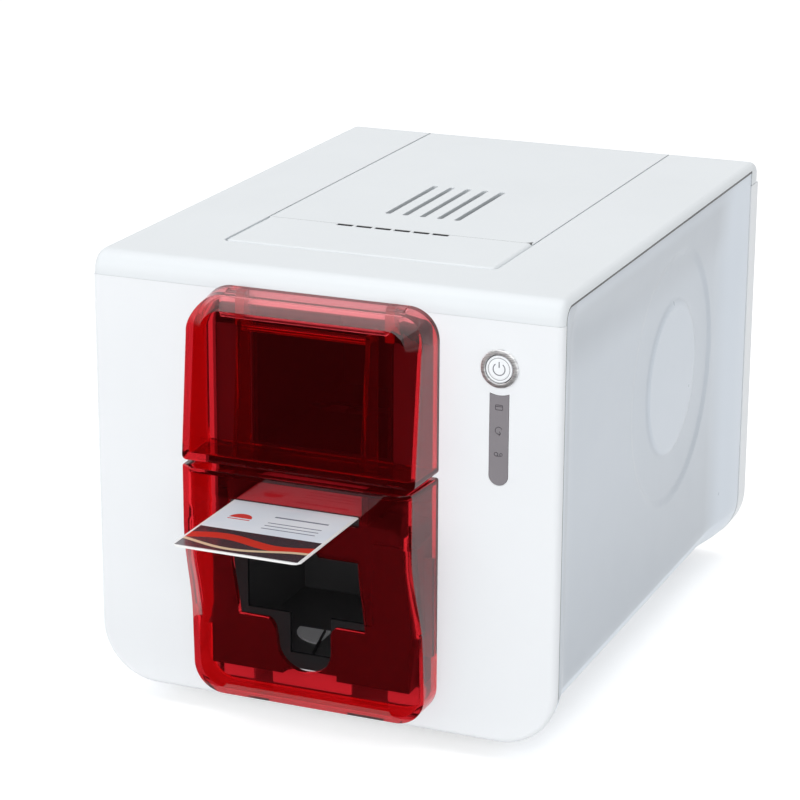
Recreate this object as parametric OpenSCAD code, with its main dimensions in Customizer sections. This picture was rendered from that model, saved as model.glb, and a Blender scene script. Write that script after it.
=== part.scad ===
/* [Casing] */
// Width of the casing
body_w = 205; // [198:1:225]
// Height of the casing without its feet
body_h = 187.5; // [186:0.5:205]
// Depth of the casing, front panel to rear
body_d = 272; // [270:1:300]
// Wall thickness of the casing mouldings
wall = 2.5; // [2:0.1:3]
// Radius of the lower side corners
low_corner_r = 25; // [16:1:27]
// Radius of the upper side edges
top_side_r = 3; // [2.6:0.1:4]
// Radius of the front edge of the top
top_front_r = 8.5; // [6:0.5:9.5]
// Radius of the rear edge of the top
top_rear_r = 5.5; // [4.5:0.5:6]
// Seam of the front panel, below the top
seam_drop = 10; // [9.6:0.1:12]
// Gap between neighbouring casing mouldings
seam_gap = 0.4; // [0.3:0.05:0.6]
// Depth of the front rim round the side panels
front_rim = 7; // [6:0.5:8]
// Depth of the rear rim round the side panels
rear_rim = 11; // [9:0.5:13]
// How far the sides and base lie inside the rims
side_inset = 3; // [2:0.25:3.5]
// Wall thickness of the side panels
side_wall = 2.2; // [1.6:0.1:2.6]
// Length of the ramp behind the front rim
front_ramp = 11; // [8:1:16]
// Length of the ramp before the rear rim
rear_ramp = 40; // [30:1:50]
// Distance of the base tray from the sides of the casing
base_inset = 26.5; // [24:0.5:30]
// Height of the rubber feet below the casing
foot_h = 8; // [6:0.5:12]
// Radius of a rubber foot
foot_r = 9; // [7:0.5:11]

/* [Side panel relief] */
// Radius of the inner disc
disc_r = 34; // [28:1:38]
// Outer radius of the ring round the disc
ring_r = 56; // [48:1:60]
// Depth of the relief
relief = 0.6; // [0.3:0.1:0.8]
// Distance of the disc's centre behind the front
disc_y = 158; // [140:1:162]
// Height of the disc's centre
disc_z = 113; // [105:1:120]

/* [Lid] */
// Width of the top on each side of the lid
lid_margin = 42.5; // [40:0.5:44]
// Distance of the lid's front edge behind the front
lid_front = 37; // [33:1:40]
// Distance of the strip's seam behind the front
strip_seam = 81; // [74:1:90]
// Distance of the hinge axis before the rear face
hinge_back = 9.5; // [9:0.5:10.5]
// Depth of the hinge axis below the top
hinge_drop = 9.5; // [9:0.5:10.5]
// Radius of the lid's hinge pins
hinge_pin_r = 2.5; // [2:0.1:3]
// Width of a vent slot
vent_w = 2.2; // [1.5:0.1:3]
// Length of a vent slot
vent_l = 57; // [40:1:62]
// Distance between vent slots
vent_pitch = 8; // [6:0.5:9]
// Number of vent slots
vent_count = 5; // [3:1:7]

/* [Front hoods] */
// Width of the hoods
hood_w = 103; // [100:0.5:106]
// Wall thickness of the hoods
hood_wall = 2.5; // [2:0.1:2.8]
// Corner radius of the hoods
hood_r = 13; // [8:0.5:14]
// Width of the sloping band along the top of the feeder hood's face
band_w = 7; // [5:0.5:8]
// Height of the join between the two hoods
hood_join = 111; // [110:0.5:112]
// Gap between the two hoods
hood_gap = 1.4; // [1:0.1:2]
// Height of the lower hood's bottom edge
hood_low = 7.5; // [6.5:0.5:9]
// Reach of the feeder hood at its top
upper_reach_top = 17; // [15:0.5:18]
// Reach of the feeder hood at its bottom
upper_reach_low = 24; // [22:0.5:25]
// Reach of the lower hood at its lip
lip_reach = 26; // [24:0.5:28]
// Reach of the lower hood at its bottom
foot_reach = 13.5; // [12.5:0.5:15]
// Gap between a hood and the front panel
hood_back_gap = 0.3; // [0.2:0.05:0.5]

/* [Cards and card path] */
// Length of a card
card_l = 85.6; // [85.6:0.1:86]
// Width of a card
card_w = 54; // [53.5:0.1:54]
// Thickness of a card
card_t = 0.76; // [0.5:0.02:0.8]
// Height of the underside of a card in its path
path_z = 97.2; // [96.8:0.1:97.4]
// How far the printed card still reaches behind the front
card_inside = 5; // [3:0.5:6]
// Gap between a card and what guides or drives it
card_gap = 0.3; // [0.25:0.05:0.4]
// Radius of the driven rollers
roller_r = 6; // [5.5:0.25:6]
// Radius of the driven rollers' shafts
shaft_r = 3; // [2.5:0.1:3]
// Radius of the pinch rollers
pinch_r = 4.5; // [4:0.25:4.75]
// Radius of the pinch rollers' shafts
pinch_shaft_r = 2; // [1.5:0.1:2.2]
// Radius of the feed roller under the card stack
feed_r = 5; // [4.5:0.1:5.2]
// Radial running clearance of shafts in their holes
run_fit = 0.05; // [0.02:0.01:0.08]
// Distance of the exit roller behind the front
exit_y = 14; // [14:0.5:16]

/* [Gears] */
// Tooth size: pitch diameter per tooth
gear_mod = 1; // [0.98:0.01:1]
// Extra distance between gear centres
gear_slack = 0.1; // [0.05:0.05:0.15]
// Thickness taken off each tooth for backlash
backlash = 0.16; // [0.12:0.02:0.2]
// Width of the gears
gear_w = 4; // [3:0.5:5]

/* [Controls] */
// Distance of the button and lamp strip from the side
control_inset = 25.9; // [24:0.1:28]
// Depth of the power button below the top
button_drop = 29; // [26:0.5:31]
// Radius of the power button
button_r = 5.5; // [5:0.1:5.8]
// Outer radius of the ring round the button
ring_outer_r = 7.8; // [7.4:0.1:8.4]
// Gap between the button and its ring
button_gap = 0.3; // [0.2:0.05:0.4]
// Travel of the power button
button_travel = 1; // [0.6:0.1:1.2]
// Width of the lamp strip
strip_w = 8; // [6:0.5:10]
// Height of the lamp strip's lower end above the card path
strip_rise = 13.3; // [11:0.1:17]
// Radius of the hollow at the lamp strip's upper end
strip_hollow_r = 11; // [10:0.5:12]

/* [Chassis and ribbon] */
// Distance of the chassis plates' inner faces from the sides of the casing
plate_inset = 37.5; // [37:0.5:38.5]
// Thickness of the chassis plates
plate_t = 2; // [1.5:0.1:2]
// Depth of the ribbon spools' axes below the top
spool_drop = 38.5; // [37:0.5:40]
// Distance of the take-up spool before the print head
take_up_ahead = 64.6; // [62:0.2:66]
// Distance of the supply spool behind the print head
supply_behind = 39.4; // [38:0.2:41]
// Radius of the ribbon left on the supply spool
supply_r = 14; // [11:0.5:15]
// Radius of the ribbon wound on the take-up spool
take_up_r = 9; // [8.5:0.5:11]
// Thickness of the ribbon web
web_t = 0.2; // [0.15:0.01:0.2]
// Side of the square feed motor
motor_w = 42; // [38:1:42]
// Side of the square fan
fan_w = 40; // [38:1:42]

/* [Hidden] */
$fn = 48;

eps = 0.01;
half_w = body_w / 2;
lid_w = body_w - 2 * lid_margin;
base_half_w = half_w - base_inset;
plate_x = half_w - plate_inset;
control_x = half_w - control_inset;
button_z = body_h - button_drop;
strip_low = path_z + strip_rise;
spool_z = body_h - spool_drop;
seam_z = body_h - seam_drop;
card_reach = card_l - card_inside;
front_y = (card_reach - body_d) / 2;
base_top = side_inset + wall;
side_top = body_h - top_side_r - seam_gap;
field_front = front_rim + front_ramp;
field_rear = body_d - rear_rim - rear_ramp;
card_top = path_z + card_t;
opening_x = hood_w / 2 - 4.5;
opening_low = hood_low + 1;
opening_high = seam_z - 4;
upper_hood_low = hood_join + hood_gap / 2;
lower_hood_high = hood_join - hood_gap / 2;
hood_top = seam_z + 2;
hinge_y = body_d - hinge_back;
hinge_z = body_h - hinge_drop;
skirt_low = hinge_z - 6;
rear_notch_z = skirt_low - 3.5;
roller_z = path_z - card_gap - roller_r;
pinch_z = card_top + card_gap + pinch_r;
roller_teeth = 16;
idler_teeth = 38;
pinion_teeth = 12;
idler_step = gear_mod * (roller_teeth + idler_teeth) / 2 + gear_slack;
pinion_step = gear_mod * (pinion_teeth + idler_teeth) / 2 + gear_slack;
front_idler_y = exit_y + idler_step;
front_roller_y = exit_y + 2 * idler_step;
middle_idler_y = exit_y + 3 * idler_step;
rear_roller_y = exit_y + 4 * idler_step;
rear_idler_y = exit_y + 5 * idler_step;
platen_y = exit_y + 6 * idler_step;
take_up_y = platen_y - take_up_ahead;
supply_y = platen_y + supply_behind;
feed_angle = 50;
feed_y = front_idler_y + pinion_step * cos(feed_angle);
feed_z = roller_z + pinion_step * sin(feed_angle);
bin_floor = feed_z + feed_r - 0.6;
motor_z = roller_z - pinion_step;
gear_x = plate_x + plate_t + 2;
rail_x = card_w / 2 + card_gap + 0.6;
rail_t = 2.6;
head_low = card_top + card_gap + web_t + card_gap;

// Places the casing's own frame: front panel at y = 0, underside at z = 0
module in_casing() translate([0, front_y, foot_h]) children();

// Extrudes an outline drawn as (x, z) from y0 to y1
module along_y(y0, y1)
    translate([0, y1, 0]) rotate([90, 0, 0]) linear_extrude(y1 - y0) children();

// Extrudes an outline drawn as (y, z) from x0 to x1
module along_x(x0, x1)
    translate([x0, 0, 0]) rotate([90, 0, 90]) linear_extrude(x1 - x0) children();

// Box between two corners
module block(low, high) translate(low) cube(high - low);

// Rectangle with its lower and upper corners rounded
module rounded_outline(x0, x1, z0, z1, low_r, high_r) {
    translate([x0 + low_r, z0]) square([x1 - x0 - 2 * low_r, z1 - z0 - high_r]);
    translate([x0, z0 + low_r]) square([x1 - x0, z1 - z0 - low_r - high_r]);
    translate([x0 + high_r, z1 - high_r - eps]) square([x1 - x0 - 2 * high_r, high_r + eps]);
    for (x = [x0 + low_r, x1 - low_r]) translate([x, z0 + low_r]) circle(low_r);
    for (x = [x0 + high_r, x1 - high_r]) translate([x, z1 - high_r]) circle(high_r);
}

// Cylinder along X from x0 to x1
module rod_x(r, x0, x1) translate([x0, 0, 0]) rotate([0, 90, 0]) cylinder(r = r, h = x1 - x0);

// Cylinder along Y from y0 to y1
module rod_y(r, y0, y1) translate([0, y1, 0]) rotate([90, 0, 0]) cylinder(r = r, h = y1 - y0);

// ---- Casing ----

module casing_section(inset)
    rounded_outline(-half_w + inset, half_w - inset, inset, body_h - inset,
                    low_corner_r - inset, max(top_side_r - inset, 0.4));

module casing_profile(inset) {
    front_r = top_front_r - inset;
    rear_r = top_rear_r - inset;
    translate([inset, 0]) square([body_d - 2 * inset, body_h - top_front_r]);
    translate([inset + front_r, 0]) square([body_d - 2 * inset - front_r - rear_r, body_h - inset]);
    translate([inset + front_r, body_h - top_front_r]) circle(front_r);
    translate([body_d / 2, 0]) square([body_d / 2 - inset, body_h - top_rear_r]);
    translate([body_d - top_rear_r, body_h - top_rear_r]) circle(rear_r);
}

module casing_solid(inset) intersection() {
    along_y(inset, body_d - inset) casing_section(inset);
    along_x(-half_w, half_w) casing_profile(inset);
}

module casing_shell() difference() {
    casing_solid(0);
    casing_solid(wall);
}

module strip_outline(grow) {
    r = strip_w / 2 + grow;
    high = button_z - strip_hollow_r + 1.5;
    difference() {
        union() {
            translate([control_x, strip_low + strip_w / 2]) circle(r);
            translate([control_x - r, strip_low + strip_w / 2])
                square([2 * r, high + grow - strip_low - strip_w / 2]);
        }
        translate([control_x, button_z]) circle(strip_hollow_r - grow);
    }
}

ring_tube_r = button_r + button_gap + 1.1;
post_x = control_x + 8;
board_y = 6.6;

module front_panel() color([0.93, 0.94, 0.95]) in_casing() {
    difference() {
        intersection() {
            casing_shell();
            block([-half_w - 1, -1, -1], [half_w + 1, front_rim, seam_z]);
        }
        block([-opening_x, -1, opening_low], [opening_x, front_rim + 1, opening_high]);
        translate([control_x, 0, button_z]) rod_y(ring_tube_r + 0.1, -1, front_rim);
        along_y(-1, front_rim) strip_outline(0.1);
    }
    for (z = [strip_low - 3, button_z + ring_tube_r + 3])
        translate([post_x, 0, z]) rod_y(2.5, wall - eps, board_y);
}

module lid_outline_box(grow) block([-lid_w / 2 - grow, lid_front - grow, rear_notch_z],
                                   [lid_w / 2 + grow, body_d + 1, body_h + 1]);

module top_shell() color([0.89, 0.91, 0.93]) in_casing() {
    ledge_z = body_h - wall - 0.3;
    difference() {
        intersection() {
            casing_shell();
            union() {
                block([-half_w, -1, seam_z + seam_gap], [half_w, front_rim, body_h + 1]);
                block([-half_w, 0, side_top + seam_gap], [half_w, body_d, body_h + 1]);
                block([-half_w, body_d - rear_rim, seam_z + seam_gap], [half_w, body_d + 1, body_h + 1]);
            }
        }
        lid_outline_box(seam_gap);
    }
    // Ledges under the lid's front and side edges, joined to the shell's underside
    difference() {
        block([-lid_w / 2 - 6, lid_front - 6, ledge_z - 2.5],
              [lid_w / 2 + 6, hinge_y - 22, body_h - wall + eps]);
        block([-lid_w / 2 + 4, lid_front + 4, ledge_z - 4], [lid_w / 2 - 4, body_d, body_h]);
        block([-lid_w / 2 - seam_gap, lid_front - seam_gap, ledge_z], [lid_w / 2 + seam_gap, body_d, body_h]);
    }
}

inlet_z = 36;
usb_z = 62;
network_z = 88;
standoff_h = 7.4;
board_t = 1.6;
board_face = -plate_x - plate_t - standoff_h - board_t;
port_gap = 0.3;
fan_x = -half_w + 32.5;
fan_z = body_h - 49.5;
lock_x = half_w - 18.5;
lock_z = 30;

module rear_panel() color([0.9, 0.91, 0.93]) in_casing() difference() {
    intersection() {
        casing_shell();
        block([-half_w - 1, body_d - rear_rim, -1], [half_w + 1, body_d + 1, seam_z]);
    }
    block([-lid_w / 2 - seam_gap, body_d - rear_rim - 1, rear_notch_z],
          [lid_w / 2 + seam_gap, body_d + 1, seam_z + 1]);
    for (port = [[inlet_z, inlet_half], [usb_z, usb_half], [network_z, network_half]])
        translate([board_face - port[1][0], body_d, port[0]])
            block([-port[1][0] - port_gap, -wall - 1, -port[1][1] - port_gap],
                  [port[1][0] + port_gap, 1, port[1][1] + port_gap]);
    translate([lock_x, body_d, lock_z]) block([-3.5, -wall - 1, -1.5], [3.5, 1, 1.5]);
    // Fan grille: slots cut short by the fan's round opening
    for (row = [-4:4]) {
        reach = sqrt(pow(fan_w / 2 - 2.5, 2) - pow(row * 4, 2));
        translate([fan_x, body_d, fan_z + row * 4]) block([-reach, -wall - 1, -1], [reach, 1, 1]);
    }
}

module base_tray() color([0.85, 0.86, 0.88]) in_casing() {
    difference() {
        block([-base_half_w, front_rim + seam_gap, side_inset],
              [base_half_w, body_d - rear_rim - seam_gap, base_top]);
        for (x = [-screw_x, screw_x]) for (y = screw_ys)
            translate([x, y, 0]) cylinder(r = screw_r, h = base_top + 1);
    }
    // Runners that carry the output bucket
    for (x = [-runner_x, runner_x])
        block([x - 2, front_rim + 3, base_top - eps], [x + 2, bucket_rear, bucket_low - card_gap]);
}

// One side panel, drawn on the +X side: a shallow dish that bends under the casing
module side_dish() {
    rim = 0.3;
    difference() {
        union() {
            along_y(field_front, field_rear) casing_section(side_inset);
            hull() {
                along_y(front_rim + seam_gap, front_rim + seam_gap + rim) casing_section(rim);
                along_y(field_front - rim, field_front) casing_section(side_inset);
            }
            hull() {
                along_y(field_rear, field_rear + rim) casing_section(side_inset);
                along_y(body_d - rear_rim - seam_gap - rim, body_d - rear_rim - seam_gap) casing_section(rim);
            }
        }
        along_y(0, body_d) casing_section(side_inset + side_wall);
        block([-half_w - 1, -1, -1], [base_half_w + seam_gap, body_d + 1, body_h + 1]);
        block([-half_w - 1, -1, side_top], [half_w + 1, body_d + 1, body_h + 1]);
    }
}

module disc_groove() translate([half_w - side_inset, disc_y, disc_z]) rotate([0, 90, 0]) difference() {
    translate([0, 0, -relief]) cylinder(r = ring_r, h = 2 * relief, $fn = 96);
    translate([0, 0, -2 * relief]) cylinder(r = disc_r, h = 4 * relief, $fn = 96);
}

module right_side_panel() color([0.78, 0.82, 0.87]) in_casing() difference() {
    side_dish();
    disc_groove();
}

module left_side_panel() color([0.78, 0.82, 0.87]) in_casing() mirror([1, 0, 0]) difference() {
    side_dish();
    disc_groove();
}

foot_x = base_half_w - foot_r - 4;
foot_ys = [52, body_d - 34];
module rubber_feet() color([0.2, 0.2, 0.21]) in_casing()
    for (x = [-foot_x, foot_x]) for (y = foot_ys)
        translate([x, y, -foot_h]) rotate_extrude() difference() {
            square([foot_r, foot_h + side_inset]);
            translate([foot_r - 1, -1]) square([2, 2]);
        }

screw_r = 1.5;
screw_x = plate_x - 6;
screw_ys = [22, body_d - 60];
flange_t = 2;
module casing_screws() color([0.55, 0.56, 0.58]) in_casing()
    for (x = [-screw_x, screw_x]) for (y = screw_ys) translate([x, y, side_inset - 1.6]) {
        cylinder(r = 3, h = 1.6);
        cylinder(r = screw_r, h = 1.6 + wall + flange_t + 1);
    }

// ---- Lid ----

module lid_skin() intersection() {
    casing_shell();
    block([-lid_w / 2, lid_front, skirt_low], [lid_w / 2, body_d + 1, body_h + 1]);
}

ear_w = 6;
ear_r = hinge_pin_r + 3;
module top_lid() color([0.88, 0.9, 0.92]) in_casing() {
    difference() {
        intersection() {
            lid_skin();
            block([-half_w, strip_seam + seam_gap, 0], [half_w, body_d + 1, body_h + 1]);
        }
        for (i = [0:vent_count - 1])
            translate([(i - (vent_count - 1) / 2) * vent_pitch, strip_seam + 26, body_h]) {
                translate([0, vent_w / 2, -wall - 1]) cylinder(r = vent_w / 2, h = wall + 2);
                translate([0, vent_l - vent_w / 2, -wall - 1]) cylinder(r = vent_w / 2, h = wall + 2);
                block([-vent_w / 2, vent_w / 2, -wall - 1], [vent_w / 2, vent_l - vent_w / 2, 1]);
            }
    }
    // Hinge ears, drilled for the pins
    for (x = [-lid_w / 2 + 2, lid_w / 2 - 2 - ear_w]) difference() {
        union() {
            translate([0, hinge_y, hinge_z]) rod_x(ear_r, x, x + ear_w);
            block([x, hinge_y - ear_r, hinge_z], [x + ear_w, hinge_y + ear_r, body_h - wall + eps]);
        }
        translate([0, hinge_y, hinge_z]) rod_x(hinge_pin_r, x - 1, x + ear_w + 1);
    }
}

module lid_front_strip() color([0.89, 0.91, 0.93]) in_casing() {
    difference() {
        intersection() {
            lid_skin();
            block([-half_w, 0, 0], [half_w, strip_seam, body_h + 1]);
        }
        // Rounded front corners
        for (side = [-1, 1]) translate([side * lid_w / 2, lid_front, 0]) difference() {
            block([-3, -1, body_h - wall - 1], [3, 3, body_h + 1]);
            translate([-side * 3, 3, body_h - wall - 2]) cylinder(r = 3, h = wall + 4);
        }
    }
    // Tongue that carries the strip under the lid
    block([-lid_w / 2 + 8, strip_seam - 12, body_h - wall - 2],
          [lid_w / 2 - 8, strip_seam + 14, body_h - wall]);
}

module lid_hinge_pins() color([0.7, 0.71, 0.73]) in_casing()
    for (side = [-1, 1]) translate([0, hinge_y, hinge_z]) {
        inner = lid_w / 2 - 2 - ear_w;
        outer = plate_x + plate_t + 0.5;
        near = min(side * inner, side * outer);
        far = max(side * inner, side * outer);
        rod_x(hinge_pin_r, near, far);
    }

catch_y = lid_front + 12;
catch_bar_z = body_h - wall - 16;
module lid_catch() color([0.25, 0.26, 0.28]) in_casing() {
    // Tongue that closes behind the bar across the feeder bin
    block([-9, catch_y, catch_bar_z - 1.5], [9, catch_y + 2, body_h - wall]);
    block([-9, catch_y, catch_bar_z + 9], [9, catch_y + 5, catch_bar_z + 11]);
}

bracket_z = head_low + 39.2;
head_w = 64;
module head_bracket() color([0.72, 0.73, 0.75]) in_casing() {
    arm_x = head_w / 2;
    block([-arm_x - 6, platen_y - 14, body_h - wall - 2.5], [arm_x + 6, platen_y + 14, body_h - wall]);
    for (x = [-arm_x - 3, arm_x])
        block([x, platen_y - 8, head_low + 12], [x + 3, platen_y + 8, body_h - wall - 2.5 + eps]);
    block([-arm_x - eps, platen_y - 7, bracket_z], [arm_x + eps, platen_y + 7, bracket_z + 2]);
}

module print_head() color([0.3, 0.31, 0.33]) in_casing() {
    half = head_w / 2;
    // Heat sink with fins, and the narrow heating edge under it
    difference() {
        block([-half, platen_y - 7, head_low + 5], [half, platen_y + 7, head_low + 20]);
        for (i = [-4:4])
            block([i * 6.5 - 1, platen_y - 8, head_low + 10], [i * 6.5 + 1, platen_y + 8, head_low + 17]);
    }
    along_x(-half, half) polygon([
        [platen_y - 5, head_low + 5 + eps], [platen_y - 1.2, head_low],
        [platen_y + 1.2, head_low], [platen_y + 5, head_low + 5 + eps]]);
}

// A coil spring's wire as a ring swept up the helix in short straight steps
module coil(r, wire, low, high, turns) {
    steps = turns * 12;
    function at(i) = [r * cos(i * 30), r * sin(i * 30), low + (high - low) * i / steps];
    sides = 6;
    points = [for (i = [0:steps]) for (k = [0:sides - 1])
        at(i) + wire * (cos(k * 60) * [cos(i * 30), sin(i * 30), 0] + [0, 0, sin(k * 60)])];
    walls = [for (i = [0:steps - 1]) for (k = [0:sides - 1]) each [
        [i * sides + k, (i + 1) * sides + (k + 1) % sides, i * sides + (k + 1) % sides],
        [i * sides + k, (i + 1) * sides + k, (i + 1) * sides + (k + 1) % sides]]];
    start = [for (k = [1:sides - 2]) [0, k, k + 1]];
    last = steps * sides;
    end = [for (k = [1:sides - 2]) [last, last + k + 1, last + k]];
    polyhedron(points, concat(walls, start, end), convexity = 8);
}

module head_springs() color([0.75, 0.76, 0.78]) in_casing()
    for (x = [-20, 20]) translate([x, platen_y, 0])
        coil(3.5, 0.5, head_low + 20.5, bracket_z - 0.5, 4);

// ---- Front hoods ----

upper_h = hood_top - upper_hood_low;
top_draft = 1.5;
band_h = band_w * 0.67 + top_draft;
band_reach = upper_reach_low + (upper_reach_top - upper_reach_low) * (1 - band_h / upper_h);

module hood_front_outline(inset, low, high, low_r, high_r)
    rounded_outline(-hood_w / 2 + inset, hood_w / 2 - inset, low + inset, high - inset, low_r, high_r);

// Side view of the feeder hood: a leaning face, a sloping band and a top wall that falls a little
module upper_profile(inset) polygon([
    [1, upper_hood_low + inset],
    [-upper_reach_low + inset * 1.1, upper_hood_low + inset],
    [-band_reach + inset, hood_top - band_h - inset * 0.55],
    [-band_reach + band_w + inset * 0.3, hood_top - top_draft - inset],
    [-5.5, hood_top - inset],
    [1, hood_top - inset]]);

module upper_form(inset) intersection() {
    along_x(-half_w, half_w) upper_profile(inset);
    along_y(-upper_reach_low - 1, 1)
        hood_front_outline(inset, upper_hood_low, hood_top, max(2 - inset, 0.4), hood_r - inset);
}

guide_x = card_w / 2 - 0.2;
module feeder_hood_shell() {
    difference() {
        upper_form(0);
        upper_form(hood_wall);
        block([-half_w, -hood_back_gap, 0], [half_w, 10, body_h]);
        // The top's rear edge is rounded, so that it clears the panel as the hood swings up
        along_x(-half_w, half_w) difference() {
            translate([hood_pin_y + 0.3, hood_pin_z + 0.3]) square(4);
            translate([hood_pin_y + 0.3, hood_pin_z + 0.3]) circle(hood_wall - 0.3);
        }
        // Notches for the knuckles of the feeder bin
        for (x = [-knuckle_x - knuckle_w, knuckle_x])
            block([x - 0.3, hood_pin_y - knuckle_r - 0.3, hood_pin_z - 5],
                  [x + knuckle_w + 0.3, 1, hood_top + 1]);
    }
    // Lugs that hold the pins beside the knuckles
    for (x = [-knuckle_x - knuckle_w - 3.3, knuckle_x + knuckle_w + 0.3])
        translate([0, hood_pin_y, hood_pin_z]) rod_x(knuckle_r, x, x + 3);
    // Card guides inside the face
    intersection() {
        upper_form(hood_wall - eps);
        for (x = [-guide_x - 2, guide_x])
            block([x, -upper_reach_low, upper_hood_low + hood_wall], [x + 2, -7, hood_top - 8]);
    }
}

bin_x = card_w / 2 + 1.5;
bin_t = 2;
bin_rear = card_l + 4;
bin_high = body_h - wall - 6;

module feeder_hood() color([0.6, 0.05, 0.06, 0.6]) in_casing() difference() {
    feeder_hood_shell();
    feeder_hood_pin_rods();
}

// The hood turns on two pins in its lugs, which run in knuckles on the feeder bin
hood_pin_y = -2.8;
hood_pin_z = hood_top - hood_wall;
hood_pin_r = 1.2;
knuckle_r = 2.2;
knuckle_w = 4;
knuckle_x = bin_x + bin_t;
module feeder_hood_pin_rods()
    for (x = [-knuckle_x - knuckle_w - 3.3, knuckle_x]) translate([0, hood_pin_y, hood_pin_z])
        rod_x(hood_pin_r, x, x + knuckle_w + 3.3);

module feeder_hood_pins() color([0.7, 0.71, 0.73]) in_casing() feeder_hood_pin_rods();

module feeder_bin() color([0.09, 0.09, 0.1]) in_casing() {
    difference() {
        block([-bin_x - bin_t, wall + 0.3, bin_floor - bin_t], [bin_x + bin_t, bin_rear + bin_t, bin_high]);
        block([-bin_x, 0, bin_floor], [bin_x, bin_rear, bin_high + 1]);
        // The feed roller's slot and its shaft's way through the walls
        block([-roller_half - 1, feed_y - feed_r - 1, bin_floor - bin_t - 1],
              [roller_half + 1, feed_y + feed_r + 1, bin_floor + 1]);
        block([-bin_x - bin_t - 1, feed_y - shaft_r, 0],
              [bin_x + bin_t + 1, feed_y + shaft_r, bin_floor + 0.3]);
        // Finger hollow in the rear wall
        translate([0, 0, bin_high]) rod_y(14, bin_rear - 1, bin_rear + bin_t + 1);
    }
    // Wings to the chassis plates
    for (side = [-1, 1]) for (y = [34, 78]) {
        near = min(side * (bin_x + bin_t - eps), side * plate_x);
        far = max(side * (bin_x + bin_t - eps), side * plate_x);
        block([near, y, bin_floor + 12], [far, y + 3, bin_floor + 30]);
    }
    // Knuckles of the feeder hood's hinge, on arms from the bin's sides
    for (x = [-knuckle_x - knuckle_w, knuckle_x]) difference() {
        union() {
            translate([0, hood_pin_y, hood_pin_z]) rod_x(knuckle_r, x, x + knuckle_w);
            block([x, hood_pin_y - knuckle_r, hood_pin_z - 8],
                  [x + knuckle_w, hood_pin_y + knuckle_r, hood_pin_z]);
            block([x, hood_pin_y - knuckle_r, hood_pin_z - 12],
                  [x + knuckle_w, wall + 6, opening_high - 0.5]);
        }
        translate([0, hood_pin_y, hood_pin_z]) rod_x(hood_pin_r + run_fit, x - 1, x + knuckle_w + 1);
    }
    // Bar across the bin that the lid's catch closes against
    block([-bin_x - eps, catch_y - 3.5, catch_bar_z], [bin_x + eps, catch_y - 0.5, catch_bar_z + 3]);
}

// Outer face of the lower hood: proud lip, then a long S down to the foot
lower_h = lower_hood_high - hood_low;
function lower_reach(t) = foot_reach + (lip_reach - foot_reach) * (t < 0.3 ? 0.15 * t / 0.3
    : 0.15 + 0.85 * (1 - cos(min(1, (t - 0.3) / 0.46) * 180)) / 2);

module lower_profile(inset) polygon(concat(
    [[1, hood_low + inset]],
    [for (i = [0:16]) [-lower_reach(i / 16) + inset, hood_low + inset + (lower_h - 2 * inset) * i / 16]],
    [[1, lower_hood_high - inset]]));

module lower_form(inset) intersection() {
    along_x(-half_w, half_w) lower_profile(inset);
    along_y(-lip_reach - 1, 1)
        rounded_outline(-hood_w / 2 + inset, hood_w / 2 - inset, hood_low + inset,
                        lower_hood_high - inset, hood_r - inset, max(3 - inset, 0.4));
}

slot_high = path_z + 1.7;
slot_low = path_z - 2.8;
slot_half = card_w / 2 + 1.5;
window_half = 28;
window_low = 47;
window_high = 79.5;
notch_half = 15;
notch_low = 23.7;

// Window in the lower hood: a card-wide opening with a finger notch above and below
module window_outline() {
    translate([-window_half, window_low]) square([2 * window_half, window_high - window_low]);
    neck = notch_half - 3;
    polygon([[-notch_half, window_low + eps], [-neck, window_low - 9],
             [neck, window_low - 9], [notch_half, window_low + eps]]);
    translate([0, notch_low + neck]) circle(neck);
    translate([-neck, notch_low + neck]) square([2 * neck, window_low - notch_low - neck]);
    polygon([[-11, window_high - eps], [-7, window_high + 4], [7, window_high + 4], [11, window_high - eps]]);
}

module output_hood() color([0.6, 0.05, 0.06, 0.6]) in_casing() difference() {
    lower_form(0);
    lower_form(hood_wall);
    block([-half_w, -hood_back_gap, 0], [half_w, 10, body_h]);
    block([-slot_half, -lip_reach - 1, slot_low], [slot_half, -10, slot_high]);
    along_y(-lip_reach - 1, -6) window_outline();
}

bucket_x = opening_x - 3;
bucket_t = 1.6;
bucket_front = -foot_reach + hood_wall + 0.5;
bucket_rear = bucket_front + card_l + 2 * bucket_t + 0.8;
bucket_low = notch_low - 3.2;
bucket_high = roller_z - roller_r - 2.5;
runner_x = 36;
module output_bucket() color([0.08, 0.08, 0.09]) in_casing() {
    difference() {
        block([-bucket_x, bucket_front, bucket_low], [bucket_x, bucket_rear, bucket_high]);
        block([-bucket_x + bucket_t, bucket_front + bucket_t, bucket_low + bucket_t],
              [bucket_x - bucket_t, bucket_rear - bucket_t, bucket_high + 1]);
        // Finger hollow through the front wall and the floor
        along_y(bucket_front - 1, bucket_front + bucket_t + 1) {
            translate([-window_half, window_low]) square([2 * window_half, bucket_high]);
            translate([-9, notch_low + 6]) square([18, window_low]);
        }
        translate([0, bucket_front, bucket_low - 1]) cylinder(r = 12, h = bucket_t + 2);
    }
    // Flanges that snap inside the hood's side walls
    for (side = [-1, 1]) {
        near = min(side * (bucket_x - eps), side * (hood_w / 2 - hood_wall));
        far = max(side * (bucket_x - eps), side * (hood_w / 2 - hood_wall));
        block([near, -3.5, bucket_low + 14], [far, -1.2, bucket_high - 6]);
    }
}

// ---- Controls ----

module button_ring() color([0.7, 0.71, 0.73]) in_casing() translate([control_x, 0, button_z])
    rotate([90, 0, 0]) rotate_extrude() {
        inner = button_r + button_gap;
        translate([inner, -wall]) square([ring_tube_r - inner, wall + eps]);
        translate([inner, 0]) square([ring_outer_r - inner - 0.4, 1.5]);
        translate([inner, 0]) square([ring_outer_r - inner, 1.1]);
    }

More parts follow.
